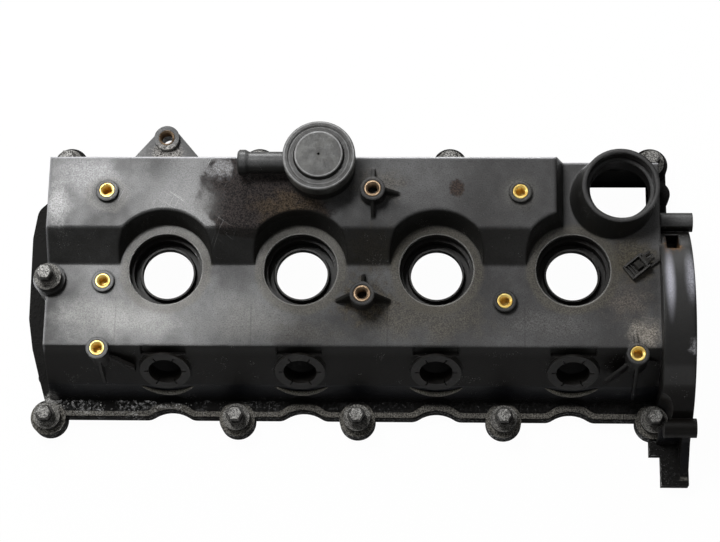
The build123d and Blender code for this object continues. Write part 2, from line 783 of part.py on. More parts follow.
regulator_cap.part.label = "regulator_cap"
export_step(regulator_cap.part, "parts/regulator_cap.step")

with BuildPart() as diaphragm:
    with BuildSketch(Plane.XZ.offset(-breather_y)):
        with BuildLine():
            Polyline(
                (breather_x, breather_rim_z + diaphragm_rise),
                (breather_x + plate_radius + 1, breather_rim_z + diaphragm_rise),
                (breather_x + cap_disc_radius - 0.5, breather_rim_z),
                (breather_x + breather_neck_radius, breather_rim_z),
                (breather_x + breather_neck_radius, breather_rim_z + diaphragm_thickness),
                (breather_x + cap_disc_radius - 0.1, breather_rim_z + diaphragm_thickness),
                (breather_x + plate_radius + 1.4, breather_rim_z + diaphragm_rise + diaphragm_thickness),
                (breather_x, breather_rim_z + diaphragm_rise + diaphragm_thickness),
                close=True,
            )
        make_face()
    revolve(axis=Axis((breather_x, breather_y, 0), (0, 0, 1)))
diaphragm.part.label = "diaphragm"
export_step(diaphragm.part, "parts/diaphragm.step")

plate_top_z = breather_rim_z + diaphragm_rise
with BuildPart() as valve_plate:
    with Locations((breather_x, breather_y, plate_top_z)):
        Cylinder(plate_radius, plate_thickness, align=hanging)
        Cylinder(plate_stem_radius, plate_stem_length, align=hanging)
    chamfer(valve_plate.edges().sort_by(Axis.Z)[0], 0.5)
valve_plate.part.label = "valve_plate"
export_step(valve_plate.part, "parts/valve_plate.step")

spring_bottom_z = chamber_floor_z + spring_wire / 2
spring_top_z = plate_top_z - plate_thickness - spring_wire / 2
with BuildPart() as spring:
    with BuildLine():
        Helix((spring_top_z - spring_bottom_z) / spring_turns, spring_top_z - spring_bottom_z, spring_radius,
              center=(breather_x, breather_y, spring_bottom_z))
    wire_start = (breather_x + spring_radius, breather_y, spring_bottom_z)
    with BuildSketch(Plane(origin=wire_start, z_dir=(0, 1, 0))):
        Circle(spring_wire / 2)
    sweep(is_frenet=True)
spring.part.label = "spring"
export_step(spring.part, "parts/spring.step")

# Clip for the wiring, snapped to the deck
with BuildPart() as harness_clip:
    clip_plane = Plane(origin=(clip_x, clip_y, deck_z),
                       x_dir=(cos(radians(clip_turn)), sin(radians(clip_turn)), 0),
                       z_dir=(sin(radians(clip_turn)), -cos(radians(clip_turn)), 0))
    with BuildSketch(clip_plane):
        with BuildLine():
            Polyline(
                (-clip_length / 2, 0),
                (clip_length / 2, 0),
                (clip_length / 2, 2),
                (7, 2.5),
                (7, 7),
                (4.2, 9),
                (3.4, 8.2),
                (5, 6),
                (5, 2.5),
                (-5, 2.5),
                (-5, 6),
                (-3.4, 8.2),
                (-4.2, 9),
                (-7, 7),
                (-7, 2.5),
                (-clip_length / 2, 2),
                close=True,
            )
        make_face()
    extrude(amount=clip_width / 2, both=True)
harness_clip.part.label = "harness_clip"
export_step(harness_clip.part, "parts/harness_clip.step")
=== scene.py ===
import bpy
import bmesh
import json
import math
from mathutils import Matrix, Vector


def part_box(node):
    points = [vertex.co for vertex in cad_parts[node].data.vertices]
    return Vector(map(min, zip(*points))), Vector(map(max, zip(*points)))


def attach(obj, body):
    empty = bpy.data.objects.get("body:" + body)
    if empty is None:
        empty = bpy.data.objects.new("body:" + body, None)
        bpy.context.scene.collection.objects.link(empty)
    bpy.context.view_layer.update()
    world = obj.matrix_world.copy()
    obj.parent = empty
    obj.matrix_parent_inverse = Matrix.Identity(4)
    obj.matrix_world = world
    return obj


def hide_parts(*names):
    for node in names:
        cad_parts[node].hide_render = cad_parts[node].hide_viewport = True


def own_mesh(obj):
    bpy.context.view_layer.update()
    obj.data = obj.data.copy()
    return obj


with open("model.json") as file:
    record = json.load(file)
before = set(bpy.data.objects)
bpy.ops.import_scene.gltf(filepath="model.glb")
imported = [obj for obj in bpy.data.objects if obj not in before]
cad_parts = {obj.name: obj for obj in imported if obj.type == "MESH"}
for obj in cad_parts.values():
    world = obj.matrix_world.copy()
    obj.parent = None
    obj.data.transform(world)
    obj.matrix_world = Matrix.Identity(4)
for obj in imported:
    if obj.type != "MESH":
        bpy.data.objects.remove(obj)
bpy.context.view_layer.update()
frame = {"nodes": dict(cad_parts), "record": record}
nodes = frame["nodes"]
mounts = {entry["name"]: entry for entry in frame["record"]["mounts"]}
print("frame loaded,", len(nodes), "nodes")


# middle of a node's box, seen from above
def middle(low, high):
    return ((low.x + high.x) / 2, (low.y + high.y) / 2)


# camera and light
camera = dict(place=(0.0730, -0.3883, 1.4143), lens=98.4, sensor=36, clipEnd=20,
              right=(0.9989, 0.0167, -0.0448), up=(-0.0032, 0.9584, 0.2855), back=(0.0477, -0.2851, 0.9573))
lamps = [
    dict(name="topPanel", place=(-0.45, 0.55, 1.40), size=0.60, power=21.0, aim=(-0.08, 0, 0.05)),
    dict(name="rearPanel", place=(-0.1, 1.75, 0.62), size=0.8, power=34.0, aim=(0, 0, 0.07)),
    dict(name="leftPanel", place=(-1.5, 0.30, 0.55), size=0.6, power=10.0, aim=(0, 0, 0.06)),
    dict(name="frontPanel", place=(0.5, -1.5, 1.1), size=0.7, power=1.6, aim=(0, 0, 0.05)),
]

scene = bpy.context.scene
scene.view_settings.view_transform = "Standard"
cameraData = bpy.data.cameras.new("photoCamera")
cameraData.lens = camera["lens"]
cameraData.sensor_width = camera["sensor"]
cameraData.clip_end = camera["clipEnd"]
cameraObject = bpy.data.objects.new("photoCamera", cameraData)
scene.collection.objects.link(cameraObject)
turn = Matrix((camera["right"], camera["up"], camera["back"])).transposed().to_4x4()
cameraObject.matrix_world = Matrix.Translation(camera["place"]) @ turn
scene.camera = cameraObject

for lamp in lamps:
    data = bpy.data.lights.new(lamp["name"], "AREA")
    data.shape = "DISK"
    data.size = lamp["size"]
    data.energy = lamp["power"]
    panel = bpy.data.objects.new(lamp["name"], data)
    scene.collection.objects.link(panel)
    panel.location = lamp["place"]
    direction = Vector(lamp["aim"]) - Vector(lamp["place"])
    panel.rotation_euler = direction.to_track_quat("-Z", "Y").to_euler()
print("camera and lamps placed")


# node helpers; an input goes by its label, or by i and its number where labels repeat
def addNode(tree, kind, settings=None, **inputs):
    node = tree.nodes.new(kind)
    for name, value in (settings or {}).items():
        setattr(node, name, value)
    for name, value in inputs.items():
        numbered = name[0] == "i" and name[1:].isdigit()
        socket = node.inputs[int(name[1:]) if numbered else name.replace("_", " ")]
        if isinstance(value, bpy.types.NodeSocket):
            tree.links.new(value, socket)
        else:
            socket.default_value = value
    return node


def maths(tree, operation, first, second=0.0):
    return addNode(tree, "ShaderNodeMath", dict(operation=operation), i0=first, i1=second).outputs[0]


def times(tree, *values):
    result = values[0]
    for value in values[1:]:
        result = maths(tree, "MULTIPLY", result, value)
    return result


def vectorMaths(tree, operation, first, second=(0.0, 0.0, 0.0)):
    node = addNode(tree, "ShaderNodeVectorMath", dict(operation=operation), i0=first, i1=second)
    return node.outputs["Value" if operation == "LENGTH" else "Vector"]


def splitXyz(tree, vector):
    return addNode(tree, "ShaderNodeSeparateXYZ", None, Vector=vector).outputs


def noise(tree, vector, scale, detail, roughness=0.5):
    return addNode(tree, "ShaderNodeTexNoise", None, Vector=vector, Scale=scale, Detail=detail,
                   Roughness=roughness).outputs["Fac"]


# smooth change from 0 where the value is start to 1 where it is full
def ramp(tree, value, start, full):
    return addNode(tree, "ShaderNodeMapRange", dict(interpolation_type="SMOOTHSTEP"), i0=value, i1=start,
                   i2=full).outputs[0]


def mixColour(tree, factor, first, second):
    node = tree.nodes.new("ShaderNodeMix")
    node.data_type = "RGBA"
    for socket, value in ((node.inputs[0], factor), (node.inputs[6], first), (node.inputs[7], second)):
        if isinstance(value, bpy.types.NodeSocket):
            tree.links.new(value, socket)
        else:
            socket.default_value = (*value, 1.0) if isinstance(value, tuple) else value
    return node.outputs[2]


def mixValue(tree, factor, first, second):
    return addNode(tree, "ShaderNodeMix", None, i0=factor, i2=first, i3=second).outputs[0]


# lays a tone over a colour where the mask is
def tint(tree, colour, mask, strength, tone):
    return mixColour(tree, times(tree, mask, strength), colour, tone)


# a group whose inputs are vectors or numbers, by their first values, and whose outputs are numbers
def startGroup(name, inputs, outputs):
    group = bpy.data.node_groups.new(name, "ShaderNodeTree")
    for label, value in inputs.items():
        kind = "NodeSocketVector" if isinstance(value, tuple) else "NodeSocketFloat"
        group.interface.new_socket(label, in_out="INPUT", socket_type=kind).default_value = value
    for label in outputs:
        group.interface.new_socket(label, in_out="OUTPUT", socket_type="NodeSocketFloat")
    return group, group.nodes.new("NodeGroupInput").outputs, group.nodes.new("NodeGroupOutput").inputs


def useGroup(tree, group, **inputs):
    return addNode(tree, "ShaderNodeGroup", dict(node_tree=group), **inputs).outputs


# moulded grain: broad mottle, fine grain and pale fibre specks
grainPattern = dict(mottle=(0.32, 0.68), speckScale=520.0, speck=(0.16, 0.05))


def makeGrainGroup():
    group, given, out = startGroup("mouldedGrain", dict(Vector=(0, 0, 0), Broad=22.0, Fine=900.0),
                                   ("Mottle", "Speck", "Height"))
    broad = noise(group, given["Vector"], given["Broad"], detail=7.0, roughness=0.62)
    fine = noise(group, given["Vector"], given["Fine"], detail=3.0, roughness=0.7)
    speck = addNode(group, "ShaderNodeTexVoronoi", None, Vector=given["Vector"],
                    Scale=grainPattern["speckScale"])
    group.links.new(ramp(group, broad, *grainPattern["mottle"]), out["Mottle"])
    group.links.new(ramp(group, speck.outputs["Distance"], *grainPattern["speck"]), out["Speck"])
    group.links.new(fine, out["Height"])
    return group


# one ragged patch round a centre, for dirt, oil and wear, and for painted highlights; swing times Ragged is
# how far its edge wanders
patchPattern = dict(swing=3.0)


def makePatchGroup():
    group, given, out = startGroup("raggedPatch", dict(
        Vector=(0, 0, 0), Centre=(0, 0, 0), Reach=(0.02, 0.02, 0.02), Ragged=0.6, Grain=60.0, Soft=0.5),
        ("Mask",))
    away = vectorMaths(group, "SUBTRACT", given["Vector"], given["Centre"])
    length = vectorMaths(group, "LENGTH", vectorMaths(group, "DIVIDE", away, given["Reach"]))
    rough = noise(group, given["Vector"], given["Grain"], detail=6.0, roughness=0.65)
    wander = times(group, maths(group, "SUBTRACT", rough, 0.5), given["Ragged"], patchPattern["swing"])
    inner = maths(group, "SUBTRACT", 1.0, given["Soft"])
    group.links.new(ramp(group, maths(group, "ADD", length, wander), 1.0, inner), out["Mask"])
    return group


# the wells stand in a row along X at one pitch
wellPlaces = [Vector(mount["pos_m"]) for name, mount in mounts.items() if name.startswith("injector_bore_")]
wellPitch = wellPlaces[1].x - wellPlaces[0].x


# how far a place lies along its own well's share of the row, from 0 to the pitch
def alongPitch(tree, x):
    start = maths(tree, "SUBTRACT", x, wellPlaces[0].x - wellPitch / 2)
    return addNode(tree, "ShaderNodeMath", dict(operation="WRAP"), i0=start, i1=wellPitch, i2=0.0).outputs[0]


# rings of grime round the wells: sharp inside, fading over a share of the width outside, with none
# further from the row's first and last well than its end
ringPattern = dict(grain=70.0, sharp=0.0003, fading=0.45, end=0.0505, endFull=0.0475)


def makeWellRingGroup():
    group, given, out = startGroup("wellRing", dict(Vector=(0, 0, 0), Inner=0.026, Outer=0.031, Ragged=0.004),
                                   ("Mask",))
    spot = splitXyz(group, given["Vector"])
    acrossX = maths(group, "SUBTRACT", alongPitch(group, spot["X"]), wellPitch / 2)
    acrossY = maths(group, "SUBTRACT", spot["Y"], wellPlaces[0].y)
    square = maths(group, "ADD", times(group, acrossX, acrossX), times(group, acrossY, acrossY))
    rough = noise(group, given["Vector"], ringPattern["grain"], detail=5.0)
    wander = times(group, maths(group, "SUBTRACT", rough, 0.5), given["Ragged"])
    radius = maths(group, "ADD", maths(group, "SQRT", square), wander)
    inside = maths(group, "ADD", given["Inner"], ringPattern["sharp"])
    width = maths(group, "SUBTRACT", given["Outer"], given["Inner"])
    outside = maths(group, "SUBTRACT", given["Outer"], times(group, width, ringPattern["fading"]))
    ring = times(group, ramp(group, radius, given["Inner"], inside),
                 ramp(group, radius, given["Outer"], outside))
    first, last = wellPlaces[0].x, wellPlaces[-1].x
    end, endFull = ringPattern["end"], ringPattern["endFull"]
    row = times(group, ramp(group, spot["X"], first - end, first - endFull),
                ramp(group, spot["X"], last + end, last + endFull))
    group.links.new(times(group, ring, row), out["Mask"])
    return group


# long thin scratches in one direction
scratchPattern = dict(stretch=(0.030, 0.0007, 0.030), sharp=0.04, gapScale=45.0, gap=(0.5, 0.6))


def makeScratchGroup():
    group, given, out = startGroup("thinScratches", dict(Vector=(0, 0, 0), Angle=(0, 0, 0.6), Density=0.6),
                                   ("Mask",))
    turned = addNode(group, "ShaderNodeMapping", dict(vector_type="TEXTURE"), Vector=given["Vector"],
                     Rotation=given["Angle"], Scale=scratchPattern["stretch"])
    lines = noise(group, turned.outputs[0], 1.0, detail=1.0)
    cuts = noise(group, given["Vector"], scratchPattern["gapScale"], detail=3.0)
    full = maths(group, "ADD", given["Density"], scratchPattern["sharp"])
    fine = ramp(group, lines, given["Density"], full)
    group.links.new(times(group, fine, ramp(group, cuts, *scratchPattern["gap"])), out["Mask"])
    return group


# beads and streaks of oil that stand on a wet surface
oilPattern = dict(bead=(0.46, 0.66), wetScale=38.0, wetEdge=0.12)


def makeOilGroup():
    group, given, out = startGroup("oilBeads", dict(Vector=(0, 0, 0), Scale=260.0, Cover=0.5), ("Bead",))
    cells = noise(group, given["Vector"], given["Scale"], detail=3.0, roughness=0.6)
    where = noise(group, given["Vector"], oilPattern["wetScale"], detail=5.0)
    wet = ramp(group, where, given["Cover"], maths(group, "ADD", given["Cover"], oilPattern["wetEdge"]))
    group.links.new(times(group, ramp(group, cells, *oilPattern["bead"]), wet), out["Bead"])
    return group


# sparse small spots: dark pits on the deck, and painted glints of wet grit
glintPattern = dict(heart=0.04, gapScale=90.0, gapEdge=0.1)


def makeGlintGroup():
    group, given, out = startGroup("pitsAndGlints", dict(Vector=(0, 0, 0), Scale=650.0, Size=0.22, Sparse=0.55),
                                   ("Mask",))
    cells = addNode(group, "ShaderNodeTexVoronoi", None, Vector=given["Vector"], Scale=given["Scale"])
    where = noise(group, given["Vector"], glintPattern["gapScale"], detail=6.0)
    point = ramp(group, cells.outputs["Distance"], given["Size"], glintPattern["heart"])
    there = ramp(group, where, given["Sparse"], maths(group, "ADD", given["Sparse"], glintPattern["gapEdge"]))
    group.links.new(times(group, point, there), out["Mask"])
    return group


# everything nearer to an upright axis than a radius and above a height, such as the inside of a neck
boreSharp = 0.0003


def makeBoreGroup():
    group, given, out = startGroup("insideBore", dict(
        Vector=(0, 0, 0), Centre=(0, 0, 0), Radius=0.02, Bottom=0.0), ("Mask",))
    away = vectorMaths(group, "SUBTRACT", given["Vector"], given["Centre"])
    length = vectorMaths(group, "LENGTH", vectorMaths(group, "MULTIPLY", away, (1.0, 1.0, 0.0)))
    near = ramp(group, length, given["Radius"], maths(group, "SUBTRACT", given["Radius"], boreSharp))
    above = maths(group, "GREATER_THAN", splitXyz(group, given["Vector"])["Z"], given["Bottom"])
    group.links.new(times(group, near, above), out["Mask"])
    return group


mouldedGrain = makeGrainGroup()
pitsAndGlints = makeGlintGroup()
insideBore = makeBoreGroup()
raggedPatch = makePatchGroup()
wellRing = makeWellRingGroup()
thinScratches = makeScratchGroup()
oilBeads = makeOilGroup()
print("node groups made")


def startMaterial(name, **settings):
    material = bpy.data.materials.new(name)
    material.use_nodes = True
    tree = material.node_tree
    shader = tree.nodes["Principled BSDF"]
    for label, value in settings.items():
        shader.inputs[label.replace("_", " ")].default_value = value
    place = tree.nodes.new("ShaderNodeTexCoord").outputs["Object"]
    return material, tree, shader, place


# patches on the deck: centre, reach, colour and its second fine tone, strength, roughness, ragged, grain
# and softness
deckPatches = [
    dict(centre=(-0.064, 0.062, 0.090), reach=(0.051, 0.044, 0.009), colour=(0.0030, 0.0025, 0.0026),
         fleck=(0.034, 0.027, 0.025), strength=0.97, rough=0.85, ragged=0.24, grain=55.0, soft=0.16),
    dict(centre=(-0.045, 0.054, 0.090), reach=(0.034, 0.018, 0.009), colour=(0.014, 0.010, 0.006),
         fleck=(0.085, 0.060, 0.036), strength=0.75, rough=0.85, ragged=0.6, grain=120.0, soft=0.9),
    dict(centre=(0.075, 0.0677, 0.090), reach=(0.0065, 0.0075, 0.01), colour=(0.006, 0.004, 0.003),
         fleck=(0.040, 0.024, 0.017), strength=0.95, rough=0.6, ragged=0.30, grain=420.0, soft=0.35),
    dict(centre=(-0.190, 0.078, 0.090), reach=(0.034, 0.020, 0.02), colour=(0.300, 0.300, 0.305),
         fleck=(0.170, 0.170, 0.172), strength=0.80, rough=0.34, ragged=0.55, grain=45.0, soft=0.95),
    dict(centre=(-0.211, 0.056, 0.090), reach=(0.013, 0.026, 0.02), colour=(0.420, 0.420, 0.420),
         fleck=(0.220, 0.220, 0.220), strength=0.80, rough=0.34, ragged=0.5, grain=80.0, soft=0.95),
    dict(centre=(-0.120, 0.074, 0.090), reach=(0.022, 0.034, 0.02), colour=(0.165, 0.166, 0.168),
         fleck=(0.110, 0.110, 0.111), strength=0.75, rough=0.38, ragged=0.5, grain=60.0, soft=0.9),
    dict(centre=(-0.108, 0.050, 0.090), reach=(0.020, 0.030, 0.02), colour=(0.150, 0.150, 0.148),
         fleck=(0.090, 0.090, 0.089), strength=0.6, rough=0.38, ragged=0.5, grain=60.0, soft=0.9),
    dict(centre=(-0.093, 0.083, 0.090), reach=(0.014, 0.010, 0.02), colour=(0.170, 0.170, 0.180),
         fleck=(0.050, 0.046, 0.044), strength=0.7, rough=0.40, ragged=0.7, grain=120.0, soft=0.6),
    dict(centre=(-0.165, 0.084, 0.090), reach=(0.016, 0.012, 0.02), colour=(0.026, 0.026, 0.026),
         fleck=(0.040, 0.040, 0.040), strength=0.8, rough=0.5, ragged=0.6, grain=70.0, soft=0.8),
    dict(centre=(-0.1748, 0.0625, 0.091), reach=(0.0185, 0.0150, 0.01), colour=(0.150, 0.145, 0.135),
         fleck=(0.085, 0.082, 0.077), strength=0.65, rough=0.45, ragged=0.18, grain=90.0, soft=0.25),
    dict(centre=(-0.1748, 0.0640, 0.091), reach=(0.0125, 0.0115, 0.01), colour=(0.060, 0.059, 0.057),
         fleck=(0.035, 0.034, 0.033), strength=0.8, rough=0.45, ragged=0.12, grain=90.0, soft=0.3),
    dict(centre=(0.120, 0.064, 0.091), reach=(0.017, 0.016, 0.01), colour=(0.105, 0.102, 0.094),
         fleck=(0.060, 0.058, 0.053), strength=0.75, rough=0.45, ragged=0.25, grain=120.0, soft=0.7),
    dict(centre=(0.020, 0.070, 0.090), reach=(0.025, 0.016, 0.02), colour=(0.120, 0.108, 0.092),
         fleck=(0.030, 0.027, 0.022), strength=0.6, rough=0.6, ragged=0.7, grain=160.0, soft=0.8),
    dict(centre=(-0.165, -0.022, 0.070), reach=(0.060, 0.026, 0.02), colour=(0.290, 0.289, 0.278),
         fleck=(0.190, 0.189, 0.182), strength=0.85, rough=0.38, ragged=0.5, grain=40.0, soft=0.95),
    dict(centre=(-0.075, -0.024, 0.070), reach=(0.055, 0.024, 0.02), colour=(0.150, 0.147, 0.138),
         fleck=(0.100, 0.098, 0.093), strength=0.65, rough=0.42, ragged=0.5, grain=46.0, soft=0.95),
    dict(centre=(-0.030, -0.034, 0.070), reach=(0.035, 0.012, 0.02), colour=(0.045, 0.040, 0.034),
         fleck=(0.085, 0.082, 0.076), strength=0.6, rough=0.6, ragged=0.8, grain=110.0, soft=0.8),
    dict(centre=(0.050, -0.020, 0.070), reach=(0.060, 0.026, 0.02), colour=(0.036, 0.033, 0.027),
         fleck=(0.092, 0.083, 0.067), strength=0.75, rough=0.6, ragged=0.6, grain=80.0, soft=0.8),
    dict(centre=(0.009, -0.010, 0.076), reach=(0.030, 0.024, 0.016), colour=(0.022, 0.017, 0.011),
         fleck=(0.090, 0.074, 0.050), strength=0.85, rough=0.8, ragged=0.5, grain=190.0, soft=0.7),
    dict(centre=(0.0154, 0.030, 0.075), reach=(0.034, 0.026, 0.020), colour=(0.018, 0.015, 0.010),
         fleck=(0.060, 0.052, 0.036), strength=0.75, rough=0.8, ragged=0.5, grain=190.0, soft=0.8),
    dict(centre=(0.140, -0.026, 0.070), reach=(0.050, 0.016, 0.02), colour=(0.120, 0.118, 0.116),
         fleck=(0.055, 0.053, 0.051), strength=0.6, rough=0.5, ragged=0.6, grain=60.0, soft=0.9),
    dict(centre=(0.207, -0.034, 0.070), reach=(0.017, 0.016, 0.02), colour=(0.340, 0.310, 0.270),
         fleck=(0.110, 0.097, 0.080), strength=0.85, rough=0.5, ragged=0.5, grain=150.0, soft=0.95),
    dict(centre=(0.196, -0.010, 0.070), reach=(0.024, 0.020, 0.02), colour=(0.150, 0.130, 0.110),
         fleck=(0.050, 0.042, 0.036), strength=0.6, rough=0.5, ragged=0.7, grain=130.0, soft=0.95),
    dict(centre=(0.200, 0.020, 0.070), reach=(0.026, 0.024, 0.02), colour=(0.034, 0.029, 0.019),
         fleck=(0.095, 0.083, 0.060), strength=0.85, rough=0.75, ragged=0.4, grain=160.0, soft=0.8),
]

# patches that also lie on walls, laid over the dark sides: dirt, and two pale bands on the timing arch that
# are painted highlights
wallDirtAndHighlights = [
    dict(centre=(-0.140, 0.108, 0.038), reach=(0.016, 0.017, 0.022), colour=(0.480, 0.465, 0.440),
         fleck=(0.030, 0.027, 0.024), strength=0.95, rough=0.9, ragged=0.25, grain=420.0, soft=0.5),
    dict(centre=(-0.140, 0.106, 0.034), reach=(0.040, 0.016, 0.014), colour=(0.120, 0.114, 0.106),
         fleck=(0.040, 0.038, 0.035), strength=0.7, rough=0.9, ragged=0.7, grain=420.0, soft=0.7),
    dict(centre=(0.228, 0.030, 0.055), reach=(0.010, 0.010, 0.03), colour=(0.045, 0.026, 0.012),
         fleck=(0.160, 0.090, 0.040), strength=0.9, rough=0.9, ragged=0.5, grain=220.0, soft=0.6),
    # two pale bands down the timing arch: painted highlights
    dict(centre=(0.2245, 0.000, 0.072), reach=(0.0050, 0.034, 0.04), colour=(0.420, 0.420, 0.470),
         fleck=(0.320, 0.320, 0.360), strength=0.85, rough=0.30, ragged=0.06, grain=60.0, soft=0.95),
    dict(centre=(0.2395, 0.004, 0.072), reach=(0.0065, 0.026, 0.04), colour=(0.330, 0.330, 0.370),
         fleck=(0.190, 0.190, 0.215), strength=0.85, rough=0.30, ragged=0.10, grain=60.0, soft=0.95),
    dict(centre=(0.2405, -0.045, 0.076), reach=(0.0050, 0.009, 0.02), colour=(0.360, 0.360, 0.370),
         fleck=(0.090, 0.090, 0.095), strength=0.75, rough=0.30, ragged=0.6, grain=260.0, soft=0.9),
    dict(centre=(-0.222, -0.070, 0.016), reach=(0.008, 0.006, 0.02), colour=(0.420, 0.415, 0.400),
         fleck=(0.050, 0.048, 0.045), strength=0.8, rough=0.4, ragged=0.5, grain=420.0, soft=0.8),
]


def layPatches(tree, place, patches, grit, colour, rough):
    for patch in patches:
        mask = useGroup(tree, raggedPatch, Vector=place, Centre=patch["centre"], Reach=patch["reach"],
                        Ragged=patch["ragged"], Grain=patch["grain"], Soft=patch["soft"])["Mask"]
        mask = times(tree, mask, patch["strength"])
        colour = mixColour(tree, mask, colour, mixColour(tree, grit, patch["colour"], patch["fleck"]))
        rough = mixValue(tree, mask, rough, patch["rough"])
    return colour, rough


# the decks: grey nylon, darker towards the timing end, with grime round each well, a painted highlight on the
# rounded rim of each well, scratches, specks, pits and one mould line beside each well; a pair of places or
# levels is where a change starts and where it is full, and roughness is for the dark tone, then for the light
# one
deckLook = dict(
    dark=(0.026, 0.0265, 0.027), light=(0.110, 0.111, 0.112), roughness=(0.50, 0.36), grit=(0.40, 0.60),
    grain=dict(Broad=15.0, Fine=1100.0), cloudGrain=dict(Broad=58.0, Fine=1050.0),
    cloud=dict(strength=0.45, tone=(0.030, 0.029, 0.028)),
    timingX=(-0.10, 0.12), timing=dict(strength=0.40, tone=(0.034, 0.032, 0.032)),
    grimeRing=dict(Outer=0.0350, Ragged=0.006), grimeTones=((0.095, 0.087, 0.068), (0.045, 0.040, 0.031)),
    grimeStrength=0.65,
    rimHighlightRing=dict(Inner=0.0259, Outer=0.0274, Ragged=0.0004),
    rim=dict(strength=0.75, tone=(0.30, 0.295, 0.28)),
    scratchLines=dict(Angle=(0, 0, 1.15), Density=0.64), crossLines=dict(Angle=(0, 0, -0.6), Density=0.66),
    scratchPatch=dict(Centre=(-0.125, 0.060, 0.09), Reach=(0.075, 0.05, 0.03), Ragged=0.6, Grain=30.0),
    scratch=dict(strength=0.5, tone=(0.36, 0.36, 0.36)),
    speck=dict(strength=0.20, tone=(0.24, 0.235, 0.225)),
    pitGlints=dict(Scale=360.0, Size=0.22, Sparse=0.50), pit=dict(strength=0.75, tone=(0.010, 0.010, 0.010)),
    fineHeight=(0.52, 0.38), fine=dict(strength=0.45, tone=(0.012, 0.012, 0.012)),
    seamPlace=0.014, seamWidth=(0.0007, 0.0002), seamY=(-0.010, -0.016),
    seam=dict(strength=0.35, tone=(0.020, 0.020, 0.019)),
)


def paintDeck(tree, place, spot, grain, cloud, grit):
    look = deckLook
    colour = mixColour(tree, grain["Mottle"], look["dark"], look["light"])
    colour = tint(tree, colour, cloud["Mottle"], **look["cloud"])
    colour = tint(tree, colour, ramp(tree, spot["X"], *look["timingX"]), **look["timing"])
    rough = mixValue(tree, grain["Mottle"], *look["roughness"])
    colour, rough = layPatches(tree, place, deckPatches, grit, colour, rough)

    grime = useGroup(tree, wellRing, Vector=place, **look["grimeRing"])["Mask"]
    colour = tint(tree, colour, grime, look["grimeStrength"], mixColour(tree, grit, *look["grimeTones"]))
    # painted highlight along the rounded rim of each well
    rim = useGroup(tree, wellRing, Vector=place, **look["rimHighlightRing"])["Mask"]
    colour = tint(tree, colour, rim, **look["rim"])

    scratch = useGroup(tree, thinScratches, Vector=place, **look["scratchLines"])["Mask"]
    cross = useGroup(tree, thinScratches, Vector=place, **look["crossLines"])["Mask"]
    worn = useGroup(tree, raggedPatch, Vector=place, **look["scratchPatch"])["Mask"]
    scratched = times(tree, maths(tree, "MAXIMUM", scratch, cross), worn)
    colour = tint(tree, colour, scratched, **look["scratch"])
    colour = tint(tree, colour, grain["Speck"], **look["speck"])
    pits = useGroup(tree, pitsAndGlints, Vector=place, **look["pitGlints"])["Mask"]
    colour = tint(tree, colour, pits, **look["pit"])
    colour = tint(tree, colour, ramp(tree, grain["Height"], *look["fineHeight"]), **look["fine"])

    away = maths(tree, "ABSOLUTE", maths(tree, "SUBTRACT", alongPitch(tree, spot["X"]), look["seamPlace"]))
    seam = times(tree, ramp(tree, away, *look["seamWidth"]), ramp(tree, spot["Y"], *look["seamY"]))
    return tint(tree, colour, seam, **look["seam"]), rough


# the timing arch is dark and smooth; the walls are painted darker as painted shade, by their rounded normal
# and on the front wall by place, over their own dark oily tone, and darker still as painted shade on forward
# faces at the foot of the front; strengths and tones are for the lower walls, then for those at the decks
wallLook = dict(
    archX=(0.2185, 0.2205), archRearY=(0.034, 0.030), archFrontY=(-0.098, -0.094),
    arch=dict(strength=0.85, tone=(0.012, 0.0118, 0.0115)),
    upright=(0.95, 0.66), frontY=(-0.0440, -0.0450), frontZ=(0.0685, 0.0675),
    strengths=(0.98, 0.90), tones=((0.0026, 0.0021, 0.0016), (0.0062, 0.0060, 0.0052)),
    forward=(-0.25, -0.7), footZ=(0.040, 0.034), foot=dict(strength=0.9, tone=(0.0018, 0.0022, 0.0042)),
)


def archMask(tree, spot):
    look = wallLook
    return times(tree, ramp(tree, spot["X"], *look["archX"]), ramp(tree, spot["Y"], *look["archRearY"]),
                 ramp(tree, spot["Y"], *look["archFrontY"]))


# painted shade: every upright face by its normal, and the front wall below the decks by its place
def wallShadeMask(tree, spot, facing):
    look = wallLook
    front = times(tree, ramp(tree, spot["Y"], *look["frontY"]), ramp(tree, spot["Z"], *look["frontZ"]))
    return maths(tree, "MAXIMUM", ramp(tree, facing["Z"], *look["upright"]), front)


# light catches the rear and left edges of the decks, where the rounded normal turns from up to sideways
edgeLook = dict(rearY=(0.0880, 0.0900), rearward=(0.10, 0.40), leftX=(-0.2150, -0.2165),
                leftward=(-0.10, -0.40), leftShare=0.45, turned=(0.12, 0.40), level=(0.995, 0.90),
                topZ=(0.0915, 0.0905),
                shine=dict(strength=0.85, tone=(0.34, 0.34, 0.355)))


def edgeMask(tree, spot, facing, deckSide):
    look = edgeLook
    rear = times(tree, ramp(tree, spot["Y"], *look["rearY"]), ramp(tree, facing["Y"], *look["rearward"]))
    left = times(tree, ramp(tree, spot["X"], *look["leftX"]), ramp(tree, facing["X"], *look["leftward"]),
                 look["leftShare"])
    turned = times(tree, ramp(tree, facing["Z"], *look["turned"]), ramp(tree, facing["Z"], *look["level"]),
                   ramp(tree, spot["Z"], *look["topZ"]))
    return times(tree, maths(tree, "MAXIMUM", rear, left), turned, deckSide)


